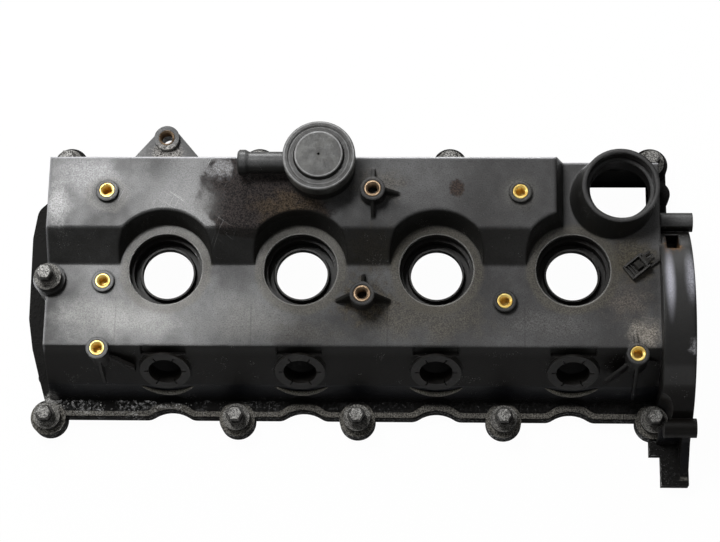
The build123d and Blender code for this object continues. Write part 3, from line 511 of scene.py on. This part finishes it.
# the flange is wet with oil; a granular strip runs along its front edge, and painted glints of wet grit lie
# in the front channel and on the dark walls
flangeLook = dict(
    wetZ=(0.024, 0.0136), wet=dict(strength=0.975, tone=(0.0038, 0.0036, 0.0033)),
    beads=dict(Scale=430.0, Cover=0.40), beadY=(-0.068, -0.072),
    stripFromZ=(0.0124, 0.0130), stripToZ=(0.0150, 0.0146), stripY=(-0.072, -0.075), stripUp=(0.5, 0.8),
    stripTones=((0.018, 0.017, 0.015), (0.150, 0.142, 0.126)),
    gritGlints=dict(Scale=900.0, Size=0.24, Sparse=0.56), gritGlintShare=0.55,
    glint=dict(Scale=560.0, Size=0.40, Sparse=0.50), channelX=(-0.09, -0.13), channelY=(-0.0700, -0.0735),
    glintHighlightTone=(0.55, 0.545, 0.53),
)


def stripMask(tree, spot, facing):
    look = flangeLook
    return times(tree, ramp(tree, spot["Z"], *look["stripFromZ"]), ramp(tree, spot["Z"], *look["stripToZ"]),
                 ramp(tree, spot["Y"], *look["stripY"]), ramp(tree, facing["Z"], *look["stripUp"]))


def glintMask(tree, place, spot, upright, wet):
    look = flangeLook
    gritGlints = useGroup(tree, pitsAndGlints, Vector=place, **look["gritGlints"])["Mask"]
    glint = useGroup(tree, pitsAndGlints, Vector=place, **look["glint"])["Mask"]
    channel = times(tree, wet, ramp(tree, spot["X"], *look["channelX"]),
                    ramp(tree, spot["Y"], *look["channelY"]))
    return maths(tree, "MAXIMUM", times(tree, gritGlints, upright, look["gritGlintShare"]), times(tree, glint, channel))


# painted shade: the inside of the filler neck and every underside are painted near-black; the neck is also
# glossy inside
neckShadeLook = dict(radius=0.0262, bottom=0.06, wall=(0.9, 0.5), under=(-0.05, -0.30),
                tone=(0.0048, 0.0038, 0.0034))


def neckShadeMask(tree, place, flat):
    inside = useGroup(tree, insideBore, Vector=place, Centre=mounts["filler_bore"]["pos_m"],
                      Radius=neckShadeLook["radius"], Bottom=neckShadeLook["bottom"])["Mask"]
    return times(tree, inside, ramp(tree, flat["Z"], *neckShadeLook["wall"]))


# the moulding's rounded normals, roughness, gloss and bump; bevelRadius is for the lower part, then for the
# decks, and deckGloss for the dark tone, then for the light one
coverShine = dict(
    deckZ=(0.060, 0.068), bevelSamples=6, bevelRadius=(0.0010, 0.0032), specular=0.14, coatRoughness=0.14,
    wallRough=0.46, wallShare=0.5, wetRough=0.85, beadRough=0.16,
    deckGloss=(0.05, 0.18), wallGloss=0.02, glossRough=(0.72, 0.48), beadGloss=0.4, neckGloss=0.8,
    edgeShare=0.5, archGloss=0.35, archShare=0.5, grainHeight=0.42, bumpStrength=0.6, bumpDistance=0.0007,
)


def coverGloss(tree, grain, rough, masks):
    shine = coverShine
    gloss = mixValue(tree, grain["Mottle"], *shine["deckGloss"])
    gloss = mixValue(tree, masks["upright"], gloss, shine["wallGloss"])
    gloss = times(tree, gloss, ramp(tree, rough, *shine["glossRough"]))
    gloss = mixValue(tree, masks["wet"], gloss, times(tree, masks["beads"], shine["beadGloss"]))
    bright = maths(tree, "MAXIMUM", masks["neck"], times(tree, masks["edge"], shine["edgeShare"]))
    gloss = mixValue(tree, bright, gloss, shine["neckGloss"])
    return mixValue(tree, times(tree, masks["arch"], shine["archShare"]), gloss, shine["archGloss"])


# the moulding's material: its own grey, grime and wear, with painted shade and painted highlights laid into
# the colour
def makeCoverMaterial():
    shine = coverShine
    material, tree, shader, place = startMaterial("wornNylonAndPaintedLight", Specular_IOR_Level=shine["specular"],
                                                  Coat_Roughness=shine["coatRoughness"])
    spot = splitXyz(tree, place)
    deckSide = ramp(tree, spot["Z"], *shine["deckZ"])
    soft = addNode(tree, "ShaderNodeBevel", dict(samples=shine["bevelSamples"]),
                   Radius=mixValue(tree, deckSide, *shine["bevelRadius"])).outputs[0]
    facing = splitXyz(tree, soft)
    flat = splitXyz(tree, tree.nodes.new("ShaderNodeNewGeometry").outputs["Normal"])
    grain = useGroup(tree, mouldedGrain, Vector=place, **deckLook["grain"])
    cloud = useGroup(tree, mouldedGrain, Vector=place, **deckLook["cloudGrain"])
    grit = ramp(tree, cloud["Height"], *deckLook["grit"])
    beads = useGroup(tree, oilBeads, Vector=place, **flangeLook["beads"])["Bead"]
    upright = wallShadeMask(tree, spot, facing)
    wet = ramp(tree, spot["Z"], *flangeLook["wetZ"])
    masks = dict(upright=upright, wet=wet, arch=archMask(tree, spot), neck=neckShadeMask(tree, place, flat),
                 edge=edgeMask(tree, spot, facing, deckSide),
                 beads=times(tree, beads, ramp(tree, spot["Y"], *flangeLook["beadY"])))

    # decks, arch, and walls in painted shade
    colour, rough = paintDeck(tree, place, spot, grain, cloud, grit)
    colour = tint(tree, colour, masks["arch"], **wallLook["arch"])
    # painted shade: upright faces take the dark wall tones, over the walls' own dark oily tone
    colour = mixColour(tree, times(tree, upright, mixValue(tree, deckSide, *wallLook["strengths"])), colour,
                       mixColour(tree, deckSide, *wallLook["tones"]))
    # painted shade on forward faces at the foot of the front
    forward = ramp(tree, facing["Y"], *wallLook["forward"])
    foot = times(tree, forward, ramp(tree, spot["Z"], *wallLook["footZ"]))
    colour = tint(tree, colour, foot, **wallLook["foot"])
    colour = tint(tree, colour, masks["edge"], **edgeLook["shine"])

    # flange, dirt and painted highlights on the walls, strip and painted glints
    colour = tint(tree, colour, wet, **flangeLook["wet"])
    colour, rough = layPatches(tree, place, wallDirtAndHighlights, grit, colour, rough)
    colour = mixColour(tree, stripMask(tree, spot, facing), colour,
                       mixColour(tree, grit, *flangeLook["stripTones"]))
    # painted glints: pale specks on the walls and in the wet front channel
    colour = mixColour(tree, glintMask(tree, place, spot, upright, wet), colour, flangeLook["glintHighlightTone"])

    # painted shade inside the neck and on undersides
    under = ramp(tree, flat["Z"], *neckShadeLook["under"])
    colour = mixColour(tree, maths(tree, "MAXIMUM", masks["neck"], under), colour, neckShadeLook["tone"])

    rough = mixValue(tree, times(tree, upright, shine["wallShare"]), rough, shine["wallRough"])
    rough = mixValue(tree, wet, rough, mixValue(tree, masks["beads"], shine["wetRough"], shine["beadRough"]))
    height = mixValue(tree, wet, times(tree, grain["Height"], shine["grainHeight"]), beads)
    bump = addNode(tree, "ShaderNodeBump", None, Strength=shine["bumpStrength"],
                   Distance=shine["bumpDistance"], Height=height, Normal=soft)
    tree.links.new(colour, shader.inputs["Base Color"])
    tree.links.new(rough, shader.inputs["Roughness"])
    tree.links.new(coverGloss(tree, grain, rough, masks), shader.inputs["Coat Weight"])
    tree.links.new(bump.outputs[0], shader.inputs["Normal"])
    return material


# painted highlights and painted shade in rings about the cap's middle, at the edges and slopes of its steps:
# radius, width, strength and brightness
capMiddle = (*middle(*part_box("regulator_cap")), 0.0)
capLightAndShadeRings = [(0.0160, 0.0011, 0.80, 0.21), (0.0172, 0.0034, 0.85, 0.007), (0.0209, 0.0013, 0.70, 0.12),
            (0.0224, 0.0018, 0.7, 0.012), (0.0242, 0.0012, 0.80, 0.20)]

# plain finishes share one recipe: two tones, grain, dirt and a film of oil; the bolt heads, sleeves and
# grommets also take painted shade on their upright sides, and the cap painted rings of highlight and shade
finishes = dict(
    cap_plastic=dict(dark=(0.012, 0.0125, 0.012), light=(0.070, 0.071, 0.067),
                     rough=0.34, grain=900.0, dirt=0.3, oil=0.1, metal=0.0, rings=capLightAndShadeRings),
    inner_plastic=dict(dark=(0.014, 0.014, 0.015), light=(0.028, 0.028, 0.029),
                       rough=0.5, grain=900.0, dirt=0.2, oil=0.3, metal=0.0),
    clip_plastic=dict(dark=(0.010, 0.010, 0.010), light=(0.040, 0.039, 0.036),
                      rough=0.36, grain=900.0, dirt=0.4, oil=0.4, metal=0.0),
    gasket_rubber=dict(dark=(0.008, 0.008, 0.009), light=(0.018, 0.018, 0.019),
                       rough=0.55, grain=700.0, dirt=0.2, oil=0.3, metal=0.0),
    seal_rubber=dict(dark=(0.0020, 0.0018, 0.0016), light=(0.0080, 0.0072, 0.0062),
                     rough=0.5, grain=700.0, dirt=0.15, oil=0.5, metal=0.0),
    # near-black rubber for the throats: painted shade inside the tube openings
    throat_shade_rubber=dict(dark=(0.0006, 0.0006, 0.0006), light=(0.0016, 0.0015, 0.0014),
                     rough=0.7, grain=700.0, dirt=0.0, oil=0.25, metal=0.0),
    # a darker copy of the bolt steel for everything below the head's top: painted shade
    bolt_side=dict(dark=(0.006, 0.0058, 0.0052), light=(0.050, 0.048, 0.044),
                   rough=0.5, grain=1300.0, dirt=0.3, oil=0.3, metal=0.2),
    grommet_rubber=dict(dark=(0.008, 0.008, 0.008), light=(0.030, 0.029, 0.027),
                        rough=0.6, grain=1300.0, dirt=0.4, oil=0.3, metal=0.0),
    bolt_steel=dict(dark=(0.030, 0.029, 0.028), light=(0.330, 0.325, 0.310),
                    rough=0.46, grain=1300.0, dirt=0.35, oil=0.2, metal=0.3),
    sleeve_steel=dict(dark=(0.014, 0.014, 0.013), light=(0.200, 0.195, 0.182),
                      rough=0.48, grain=1300.0, dirt=0.4, oil=0.3, metal=0.3),
    spring_steel=dict(dark=(0.30, 0.30, 0.30), light=(0.48, 0.48, 0.47),
                      rough=0.3, grain=600.0, dirt=0.1, oil=0.2, metal=1.0),
    insert_brass=dict(dark=(0.72, 0.46, 0.10), light=(1.0, 0.80, 0.28),
                      rough=0.30, grain=500.0, dirt=0.08, oil=0.2, metal=0.55),
    insert_bronze=dict(dark=(0.17, 0.115, 0.07), light=(0.36, 0.26, 0.17),
                       rough=0.36, grain=500.0, dirt=0.3, oil=0.3, metal=0.8),
    # paler than the walls round it: a painted highlight on the lips under the tube seals
    lip_highlight=dict(dark=(0.020, 0.019, 0.015), light=(0.170, 0.160, 0.130),
                  rough=0.4, grain=1300.0, dirt=0.5, oil=0.3, metal=0.0),
)
gritty = ("bolt_steel", "bolt_side", "sleeve_steel", "grommet_rubber", "lip_highlight")
shadedSides = ("bolt_steel", "sleeve_steel", "grommet_rubber")
finishPattern = dict(
    specular=0.3, mottle=95.0, grittyHeight=(0.42, 0.60), beads=dict(Scale=420.0, Cover=0.52),
    dirtGrain=dict(Broad=210.0, Fine=1500.0), dirtTone=(0.022, 0.018, 0.014), dirtRough=0.8, oilRough=0.12,
    upright=(0.92, 0.60), side=dict(strength=0.85, tone=(0.010, 0.0098, 0.0092)),
    grainHeight=0.6, bumpStrength=0.5, bumpDistance=0.0004,
)


def ringMask(tree, place, radius, width):
    outer = useGroup(tree, insideBore, Vector=place, Centre=capMiddle, Radius=radius + width)["Mask"]
    inner = useGroup(tree, insideBore, Vector=place, Centre=capMiddle, Radius=radius)["Mask"]
    return maths(tree, "SUBTRACT", outer, inner)


def makeFinish(name, look):
    pattern = finishPattern
    material, tree, shader, place = startMaterial(name, Metallic=look["metal"],
                                                  Specular_IOR_Level=pattern["specular"])
    grain = useGroup(tree, mouldedGrain, Vector=place, Broad=pattern["mottle"], Fine=look["grain"])
    dirt = useGroup(tree, mouldedGrain, Vector=place, **pattern["dirtGrain"])["Mottle"]
    beads = useGroup(tree, oilBeads, Vector=place, **pattern["beads"])["Bead"]
    tone = ramp(tree, grain["Height"], *pattern["grittyHeight"]) if name in gritty else grain["Mottle"]
    colour = mixColour(tree, tone, look["dark"], look["light"])
    # painted shade on upright faces
    if name in shadedSides:
        facing = splitXyz(tree, tree.nodes.new("ShaderNodeNewGeometry").outputs["Normal"])
        colour = tint(tree, colour, ramp(tree, facing["Z"], *pattern["upright"]), **pattern["side"])
    # painted highlights and painted shade on the cap's steps
    for radius, width, strength, shade in look.get("rings", ()):
        colour = tint(tree, colour, ringMask(tree, place, radius, width), strength, (shade, shade, shade))
    colour = tint(tree, colour, dirt, look["dirt"], pattern["dirtTone"])
    rough = mixValue(tree, times(tree, dirt, look["dirt"]), look["rough"], pattern["dirtRough"])
    rough = mixValue(tree, times(tree, beads, look["oil"]), rough, pattern["oilRough"])
    height = maths(tree, "ADD", times(tree, grain["Height"], pattern["grainHeight"]),
                   times(tree, beads, look["oil"]))
    bump = addNode(tree, "ShaderNodeBump", None, Strength=pattern["bumpStrength"],
                   Distance=pattern["bumpDistance"], Height=height)
    tree.links.new(colour, shader.inputs["Base Color"])
    tree.links.new(rough, shader.inputs["Roughness"])
    tree.links.new(bump.outputs[0], shader.inputs["Normal"])
    return material


materials = dict(nylon=makeCoverMaterial())
for slotName, look in finishes.items():
    materials[slotName] = makeFinish(slotName, look)
for entry in frame["record"]["subparts"]:
    part = nodes[entry["node"]]
    part.data.materials.clear()
    part.data.materials.append(materials[entry["material_slot"]])


# floor that shows white to the camera, keeps a soft shadow and is clear from below
floorLook = dict(size=6.0, level=-0.0002, white=0.98, colour=(0.70, 0.70, 0.70, 1.0),
                 glow=(1.0, 1.0, 1.0, 1.0))
floorMesh = bmesh.new()
bmesh.ops.create_grid(floorMesh, x_segments=1, y_segments=1, size=floorLook["size"] / 2)
bmesh.ops.translate(floorMesh, verts=floorMesh.verts, vec=(0, 0, floorLook["level"]))
floorData = bpy.data.meshes.new("floor")
floorMesh.to_mesh(floorData)
floorMesh.free()
floor = bpy.data.objects.new("floor", floorData)
scene.collection.objects.link(floor)
floorMaterial = bpy.data.materials.new("paleFloor")
floorMaterial.use_nodes = True
floorTree = floorMaterial.node_tree
floorTree.nodes.clear()
rays = floorTree.nodes.new("ShaderNodeLightPath").outputs
seen = maths(floorTree, "MAXIMUM", rays["Is Camera Ray"], rays["Is Transmission Ray"])
plain = addNode(floorTree, "ShaderNodeBsdfDiffuse", None, Color=floorLook["colour"])
glow = addNode(floorTree, "ShaderNodeEmission", None, Color=floorLook["glow"], Strength=1.0)
above = addNode(floorTree, "ShaderNodeMixShader", None, i0=times(floorTree, seen, floorLook["white"]),
                i1=plain.outputs[0], i2=glow.outputs[0])
clear = floorTree.nodes.new("ShaderNodeBsdfTransparent")
below = floorTree.nodes.new("ShaderNodeNewGeometry").outputs["Backfacing"]
oneSided = addNode(floorTree, "ShaderNodeMixShader", None, i0=below, i1=above.outputs[0], i2=clear.outputs[0])
end = floorTree.nodes.new("ShaderNodeOutputMaterial")
floorTree.links.new(oneSided.outputs[0], end.inputs["Surface"])
floorData.materials.append(floorMaterial)

# world that the camera sees as white, and that lights the part much less
worldLook = dict(colour=(1.0, 1.0, 1.0, 1.0), light=0.20, seen=1.0)
world = bpy.data.worlds.new("studio")
scene.world = world
world.use_nodes = True
worldTree = world.node_tree
worldTree.nodes.clear()
worldRays = worldTree.nodes.new("ShaderNodeLightPath").outputs
white = worldLook["colour"]
dim = addNode(worldTree, "ShaderNodeBackground", None, Color=white, Strength=worldLook["light"])
bright = addNode(worldTree, "ShaderNodeBackground", None, Color=white, Strength=worldLook["seen"])
worldMix = addNode(worldTree, "ShaderNodeMixShader", None, i0=worldRays["Is Camera Ray"], i1=dim.outputs[0],
                   i2=bright.outputs[0])
worldEnd = worldTree.nodes.new("ShaderNodeOutputWorld")
worldTree.links.new(worldMix.outputs[0], worldEnd.inputs["Surface"])
print("floor and world made")


# mesh helpers; sharp is in degrees
mergeDistance = 0.000002


def finishPiece(mesh, name, slotName, body, replaced=(), look=None, sharp=32):
    bmesh.ops.remove_doubles(mesh, verts=mesh.verts, dist=mergeDistance)
    bmesh.ops.recalc_face_normals(mesh, faces=mesh.faces)
    data = bpy.data.meshes.new(name)
    mesh.to_mesh(data)
    mesh.free()
    piece = bpy.data.objects.new(name, data)
    scene.collection.objects.link(piece)
    data.materials.append(materials[look or slotName])
    data.shade_smooth()
    data.set_sharp_from_angle(angle=math.radians(sharp))
    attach(piece, body)
    if replaced:
        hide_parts(*replaced)
    return piece


# turns a closed profile of (radius, height) about a vertical axis
def turnProfile(mesh, profile, centre, steps=48):
    ring = [mesh.verts.new((centre[0] + radius, centre[1], height)) for radius, height in profile]
    edges = [mesh.edges.new((ring[i], ring[(i + 1) % len(ring)])) for i in range(len(ring))]
    bmesh.ops.spin(mesh, geom=ring + edges, cent=(centre[0], centre[1], 0), axis=(0, 0, 1), angle=2 * math.pi,
                   steps=steps, use_merge=True, dvec=(0, 0, 0), use_duplicate=False)


# joins a row of rings of vertices into a bar and closes both its ends
def joinRings(mesh, rings):
    for first, second in zip(rings, rings[1:]):
        for i in range(len(first)):
            j = (i + 1) % len(first)
            mesh.faces.new((first[i], first[j], second[j], second[i]))
    mesh.faces.new(rings[0])
    mesh.faces.new(rings[-1])


def bevelEdges(mesh, edges, offset, segments=1):
    bmesh.ops.bevel(mesh, geom=edges, offset=offset, offset_type="OFFSET", segments=segments, profile=0.5,
                    affect="EDGES", material=-1)


# threaded inserts: grooves turned into the bore stand for the thread, and the brass ones have a floor
thread = dict(pitch=0.00125, depth=0.0006, lead=0.0006, rim=0.0004, floor=0.0004, dip=0.0001,
              floored="insert_brass")


def makeInsert(name, slotName):
    low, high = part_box(name)
    outer = (high.x - low.x) / 2
    bore = mounts[name + "_thread"]["dims"]["r_mm"] / 1000
    root = bore + thread["depth"]
    profile = [(outer, low.z), (outer, high.z - thread["rim"]), (outer - thread["rim"], high.z),
               (root + thread["lead"], high.z), (root, high.z - thread["lead"])]
    height = high.z - thread["lead"] - thread["pitch"] / 2
    while height > low.z + thread["pitch"]:
        profile += [(bore, height), (root, height - thread["pitch"] / 2)]
        height -= thread["pitch"]
    if slotName == thread["floored"]:
        floorTop = low.z + thread["floor"]
        profile += [(root, floorTop), (0.0, floorTop - thread["dip"]), (0.0, low.z)]
    else:
        profile.append((root, low.z))
    mesh = bmesh.new()
    turnProfile(mesh, profile, middle(low, high))
    return finishPiece(mesh, "threaded_" + name, slotName, "moulding", [name])


for entry in frame["record"]["subparts"]:
    if entry["node"].startswith("insert_"):
        makeInsert(entry["node"], entry["material_slot"])
print("inserts threaded")


# captive bolts: a chamfered hexagon on a washer face, and grooves that stand for the thread at the end
boltShape = dict(flats=0.010, headHeight=0.0055, chamfer=0.0007, cornerRound=0.0004, cornerSegments=2,
                 flangeRadius=0.0065, flangeHeight=0.0015, flangeEdge=0.0003, shank=0.003, overlap=0.0002,
                 threadLength=0.012, threadPitch=0.001, threadDepth=0.0006, tip=0.0008, steps=24, sharp=24,
                 faceUp=0.6)


def addHead(mesh, centre, foot):
    height = boltShape["headHeight"]
    corner = boltShape["flats"] / 2 / math.cos(math.pi / 6)
    place = Matrix.Translation((*centre, foot + height / 2)) @ Matrix.Rotation(math.pi / 6, 4, "Z")
    bmesh.ops.create_cone(mesh, cap_ends=True, segments=6, radius1=corner, radius2=corner, depth=height,
                          matrix=place)
    top = [edge for edge in mesh.edges if all(vert.co.z > foot + height / 2 for vert in edge.verts)]
    bevelEdges(mesh, top, boltShape["chamfer"])
    corners = [edge for edge in mesh.edges if abs(edge.verts[0].co.z - edge.verts[1].co.z) > height / 2]
    bevelEdges(mesh, corners, boltShape["cornerRound"], boltShape["cornerSegments"])


def makeBolt(name):
    low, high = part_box(name)
    centre = middle(low, high)
    foot = high.z - boltShape["headHeight"]
    seat = foot - boltShape["flangeHeight"]
    mesh = bmesh.new()
    addHead(mesh, centre, foot)

    flange, edge = boltShape["flangeRadius"], boltShape["flangeEdge"]
    turnProfile(mesh, [(0.0, seat), (flange - edge, seat), (flange, seat + edge), (flange, foot - edge),
                       (flange - edge, foot), (0.0, foot)], centre)

    shank, pitch = boltShape["shank"], boltShape["threadPitch"]
    shankTop = seat + boltShape["overlap"]
    profile = [(0.0, shankTop), (shank, shankTop), (shank, low.z + boltShape["threadLength"])]
    height = low.z + boltShape["threadLength"] - pitch / 2
    while height > low.z + pitch:
        profile += [(shank - boltShape["threadDepth"], height), (shank, height - pitch / 2)]
        height -= pitch
    profile += [(shank - boltShape["tip"], low.z), (0.0, low.z)]
    turnProfile(mesh, profile, centre, steps=boltShape["steps"])

    bolt = finishPiece(mesh, "hex_" + name, "bolt_steel", name + "_body", [name], sharp=boltShape["sharp"])
    # faces below the top of the head take the darker copy: painted shade on the sides
    bolt.data.materials.append(materials["bolt_side"])
    for face in bolt.data.polygons:
        onTop = face.normal.z > boltShape["faceUp"] and face.center.z > high.z - boltShape["chamfer"]
        face.material_index = 0 if onTop else 1
    return bolt


for entry in frame["record"]["subparts"]:
    if entry["node"].startswith("bolt_"):
        makeBolt(entry["node"])
print("bolts made")


# regulator spring, drawn at rest; on the real part it shortens as the valve plate comes down
coil = dict(wire=0.0005, turns=4.5, steps=32, sides=8, travel=0.002)


def makeSpring():
    low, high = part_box("spring")
    x, y = middle(low, high)
    radius = (high.x - low.x) / 2 - coil["wire"]
    rise = high.z - low.z - 2 * coil["wire"]
    count = int(coil["turns"] * coil["steps"])
    up = Vector((0, 0, coil["wire"]))
    turns = [2 * math.pi * i / coil["sides"] for i in range(coil["sides"])]
    mesh = bmesh.new()
    rings = []
    for step in range(count + 1):
        angle = 2 * math.pi * step / coil["steps"]
        out = Vector((math.cos(angle), math.sin(angle), 0))
        centre = Vector((x, y, low.z + rise * step / count)) + up + out * radius
        rings.append([mesh.verts.new(centre + out * (coil["wire"] * math.cos(turn)) + up * math.sin(turn))
                      for turn in turns])
    joinRings(mesh, rings)
    piece = finishPiece(mesh, "coil_spring", "spring_steel", "moulding", ("spring",))
    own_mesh(piece)


makeSpring()
print("spring made")


# raised strip along the front edge of the flange, between the bolt bosses and round the scallops; notch is
# a scallop's radius, blend that of the corners beside it, and the strip is widest at the wells
edgeStrip = dict(front=-0.083, outer=0.0004, inner=0.0046, scallopInner=0.0070, low=0.0118, high=0.0135,
                 round=0.0005, notch=0.0235, notchDepth=0.0055, blend=0.010, clear=0.0120, step=0.0012,
                 swell=0.020, bolts=("bolt_1", "bolt_2", "bolt_3", "bolt_4", "bolt_5"))


def stripY(x, away):
    across = min(abs(x - well.x) for well in wellPlaces)
    notchY = edgeStrip["front"] + edgeStrip["notchDepth"] - edgeStrip["notch"]
    blendY = edgeStrip["front"] + edgeStrip["blend"]
    both = edgeStrip["notch"] + edgeStrip["blend"]
    blendX = math.sqrt(both ** 2 - (blendY - notchY) ** 2)
    radius = edgeStrip["notch"] + away
    inner = edgeStrip["blend"] - away
    if across >= blendX:
        return edgeStrip["front"] + away
    if across <= blendX * radius / both:
        return notchY + math.sqrt(radius ** 2 - across ** 2)
    return blendY - math.sqrt(max(inner ** 2 - (blendX - across) ** 2, 0))


def makeStrip(number, start, end):
    low, high = edgeStrip["low"], edgeStrip["high"]
    soft, outside = edgeStrip["round"], edgeStrip["outer"]
    count = max(int((end - start) / edgeStrip["step"]), 2)
    mesh = bmesh.new()
    rings = []
    for step in range(count + 1):
        x = start + (end - start) * step / count
        near = min(abs(x - well.x) for well in wellPlaces)
        swell = max(0.0, 1.0 - near / edgeStrip["swell"])
        inside = edgeStrip["inner"] + (edgeStrip["scallopInner"] - edgeStrip["inner"]) * swell
        section = [(outside, low), (outside, high - soft), (outside + soft, high),
                   (inside - soft, high), (inside, high - soft), (inside, low)]
        rings.append([mesh.verts.new((x, stripY(x, away), height)) for away, height in section])
    joinRings(mesh, rings)
    return finishPiece(mesh, f"edge_strip_{number}", "nylon", "moulding")


boltCentres = [middle(*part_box(name))[0] for name in edgeStrip["bolts"]]
for number, (left, right) in enumerate(zip(boltCentres, boltCentres[1:]), start=1):
    makeStrip(number, left + edgeStrip["clear"], right - edgeStrip["clear"])
print("edge strips made")


# rubber throats behind the tube seals, finished near-black as painted shade deep in the openings; the places
# are along the bore, outwards from its mount
throat = dict(outer=0.0150, seat=-0.0050, start=-0.0056, end=-0.0104, mouth=0.0032, wall=0.0007)


def makeThroat(number, mount):
    start, end, wall = throat["start"], throat["end"], throat["wall"]
    bore = mount["dims"]["r_mm"] / 1000
    outward = Vector(mount["axis"]).normalized()
    place = Matrix.Translation(mount["pos_m"]) @ outward.to_track_quat("Z", "Y").to_matrix().to_4x4()
    mesh = bmesh.new()
    turnProfile(mesh, [(throat["outer"], throat["seat"]), (throat["outer"], start), (bore, start - wall),
                       (throat["mouth"], end - wall), (throat["mouth"], end), (bore, start),
                       (bore, throat["seat"])], (0, 0))
    bmesh.ops.transform(mesh, matrix=place, verts=mesh.verts)
    return finishPiece(mesh, f"tube_throat_{number}", "seal_rubber", "moulding", look="throat_shade_rubber")


# lip under each tube boss, on the front wall, which comes forward by slope below its fold; it is painted
# paler than the wall as a painted highlight along its rounded top
lip = dict(half=0.0190, low=0.0262, rise=0.0080, foldY=-0.0640, foldZ=0.0360, slope=0.375, tall=0.0022,
           thick=0.0014, tip=0.05, steps=36, sides=10)


def makeLip(number, x):
    up = Vector((0, lip["slope"], 1)).normalized() * lip["tall"]
    out = Vector((0, -1, lip["slope"])).normalized() * lip["thick"]
    turns = [2 * math.pi * i / lip["sides"] for i in range(lip["sides"])]
    mesh = bmesh.new()
    rings = []
    for step in range(lip["steps"] + 1):
        across = 2 * step / lip["steps"] - 1
        height = lip["low"] + lip["rise"] * across ** 2
        wall = lip["foldY"] - lip["slope"] * (lip["foldZ"] - height)
        centre = Vector((x + across * lip["half"], wall, height))
        taper = math.sqrt(max(1 - across ** 2, 0.0)) + lip["tip"]
        rings.append([mesh.verts.new(centre + (up * math.cos(turn) + out * math.sin(turn)) * taper)
                      for turn in turns])
    joinRings(mesh, rings)
    return finishPiece(mesh, f"tube_lip_{number}", "nylon", "moulding", look="lip_highlight")


for name, mount in mounts.items():
    if name.startswith("tube_bore_"):
        makeThroat(name[-1], mount)
        makeLip(name[-1], mount["pos_m"][0])
print("tube throats and lips made")


# harness clip: a base, two rails, three ribs, a latch, a bridge, a tongue and prongs; tilt in degrees
clipShape = dict(turn=38.0, edge=0.0003)
clipBlocks = [
    dict(place=(0.0, 0.0, 0.0010), size=(0.0180, 0.0120, 0.0020), tilt=0.0),
    dict(place=(-0.0005, 0.0052, 0.0036), size=(0.0150, 0.0016, 0.0050), tilt=-8.0),
    dict(place=(-0.0005, -0.0052, 0.0036), size=(0.0150, 0.0016, 0.0050), tilt=-8.0),
    dict(place=(-0.0085, 0.0, 0.0032), size=(0.0014, 0.0118, 0.0030), tilt=0.0),
    dict(place=(-0.0060, 0.0, 0.0030), size=(0.0011, 0.0100, 0.0024), tilt=0.0),
    dict(place=(-0.0038, 0.0, 0.0028), size=(0.0011, 0.0100, 0.0022), tilt=0.0),
    dict(place=(0.0005, 0.0002, 0.0040), size=(0.0048, 0.0058, 0.0040), tilt=14.0),
    dict(place=(0.0045, 0.0, 0.0068), size=(0.0016, 0.0122, 0.0016), tilt=0.0),
    dict(place=(0.0068, 0.0, 0.0052), size=(0.0030, 0.0070, 0.0014), tilt=20.0),
    dict(place=(0.0105, 0.0034, 0.0026), size=(0.0060, 0.0016, 0.0016), tilt=0.0),
    dict(place=(0.0110, 0.0004, 0.0034), size=(0.0050, 0.0014, 0.0014), tilt=-10.0),
    dict(place=(0.0105, -0.0052, 0.0016), size=(0.0090, 0.0022, 0.0014), tilt=0.0),
    dict(place=(0.0086, -0.0018, 0.0046), size=(0.0020, 0.0022, 0.0034), tilt=12.0),
]


def makeClip():
    low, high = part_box("harness_clip")
    turn = Matrix.Rotation(math.radians(clipShape["turn"]), 4, "Z")
    base = Matrix.Translation((*middle(low, high), low.z)) @ turn
    mesh = bmesh.new()
    for block in clipBlocks:
        tilt = Matrix.Rotation(math.radians(block["tilt"]), 4, "Y")
        place = base @ Matrix.Translation(block["place"]) @ tilt @ Matrix.Diagonal((*block["size"], 1.0))
        made = bmesh.ops.create_cube(mesh, size=1.0, matrix=place)
        edges = list({edge for vert in made["verts"] for edge in vert.link_edges})
        bevelEdges(mesh, edges, clipShape["edge"])
    return finishPiece(mesh, "harness_buckle", "clip_plastic", "moulding", ["harness_clip"])


makeClip()
print("harness clip made")
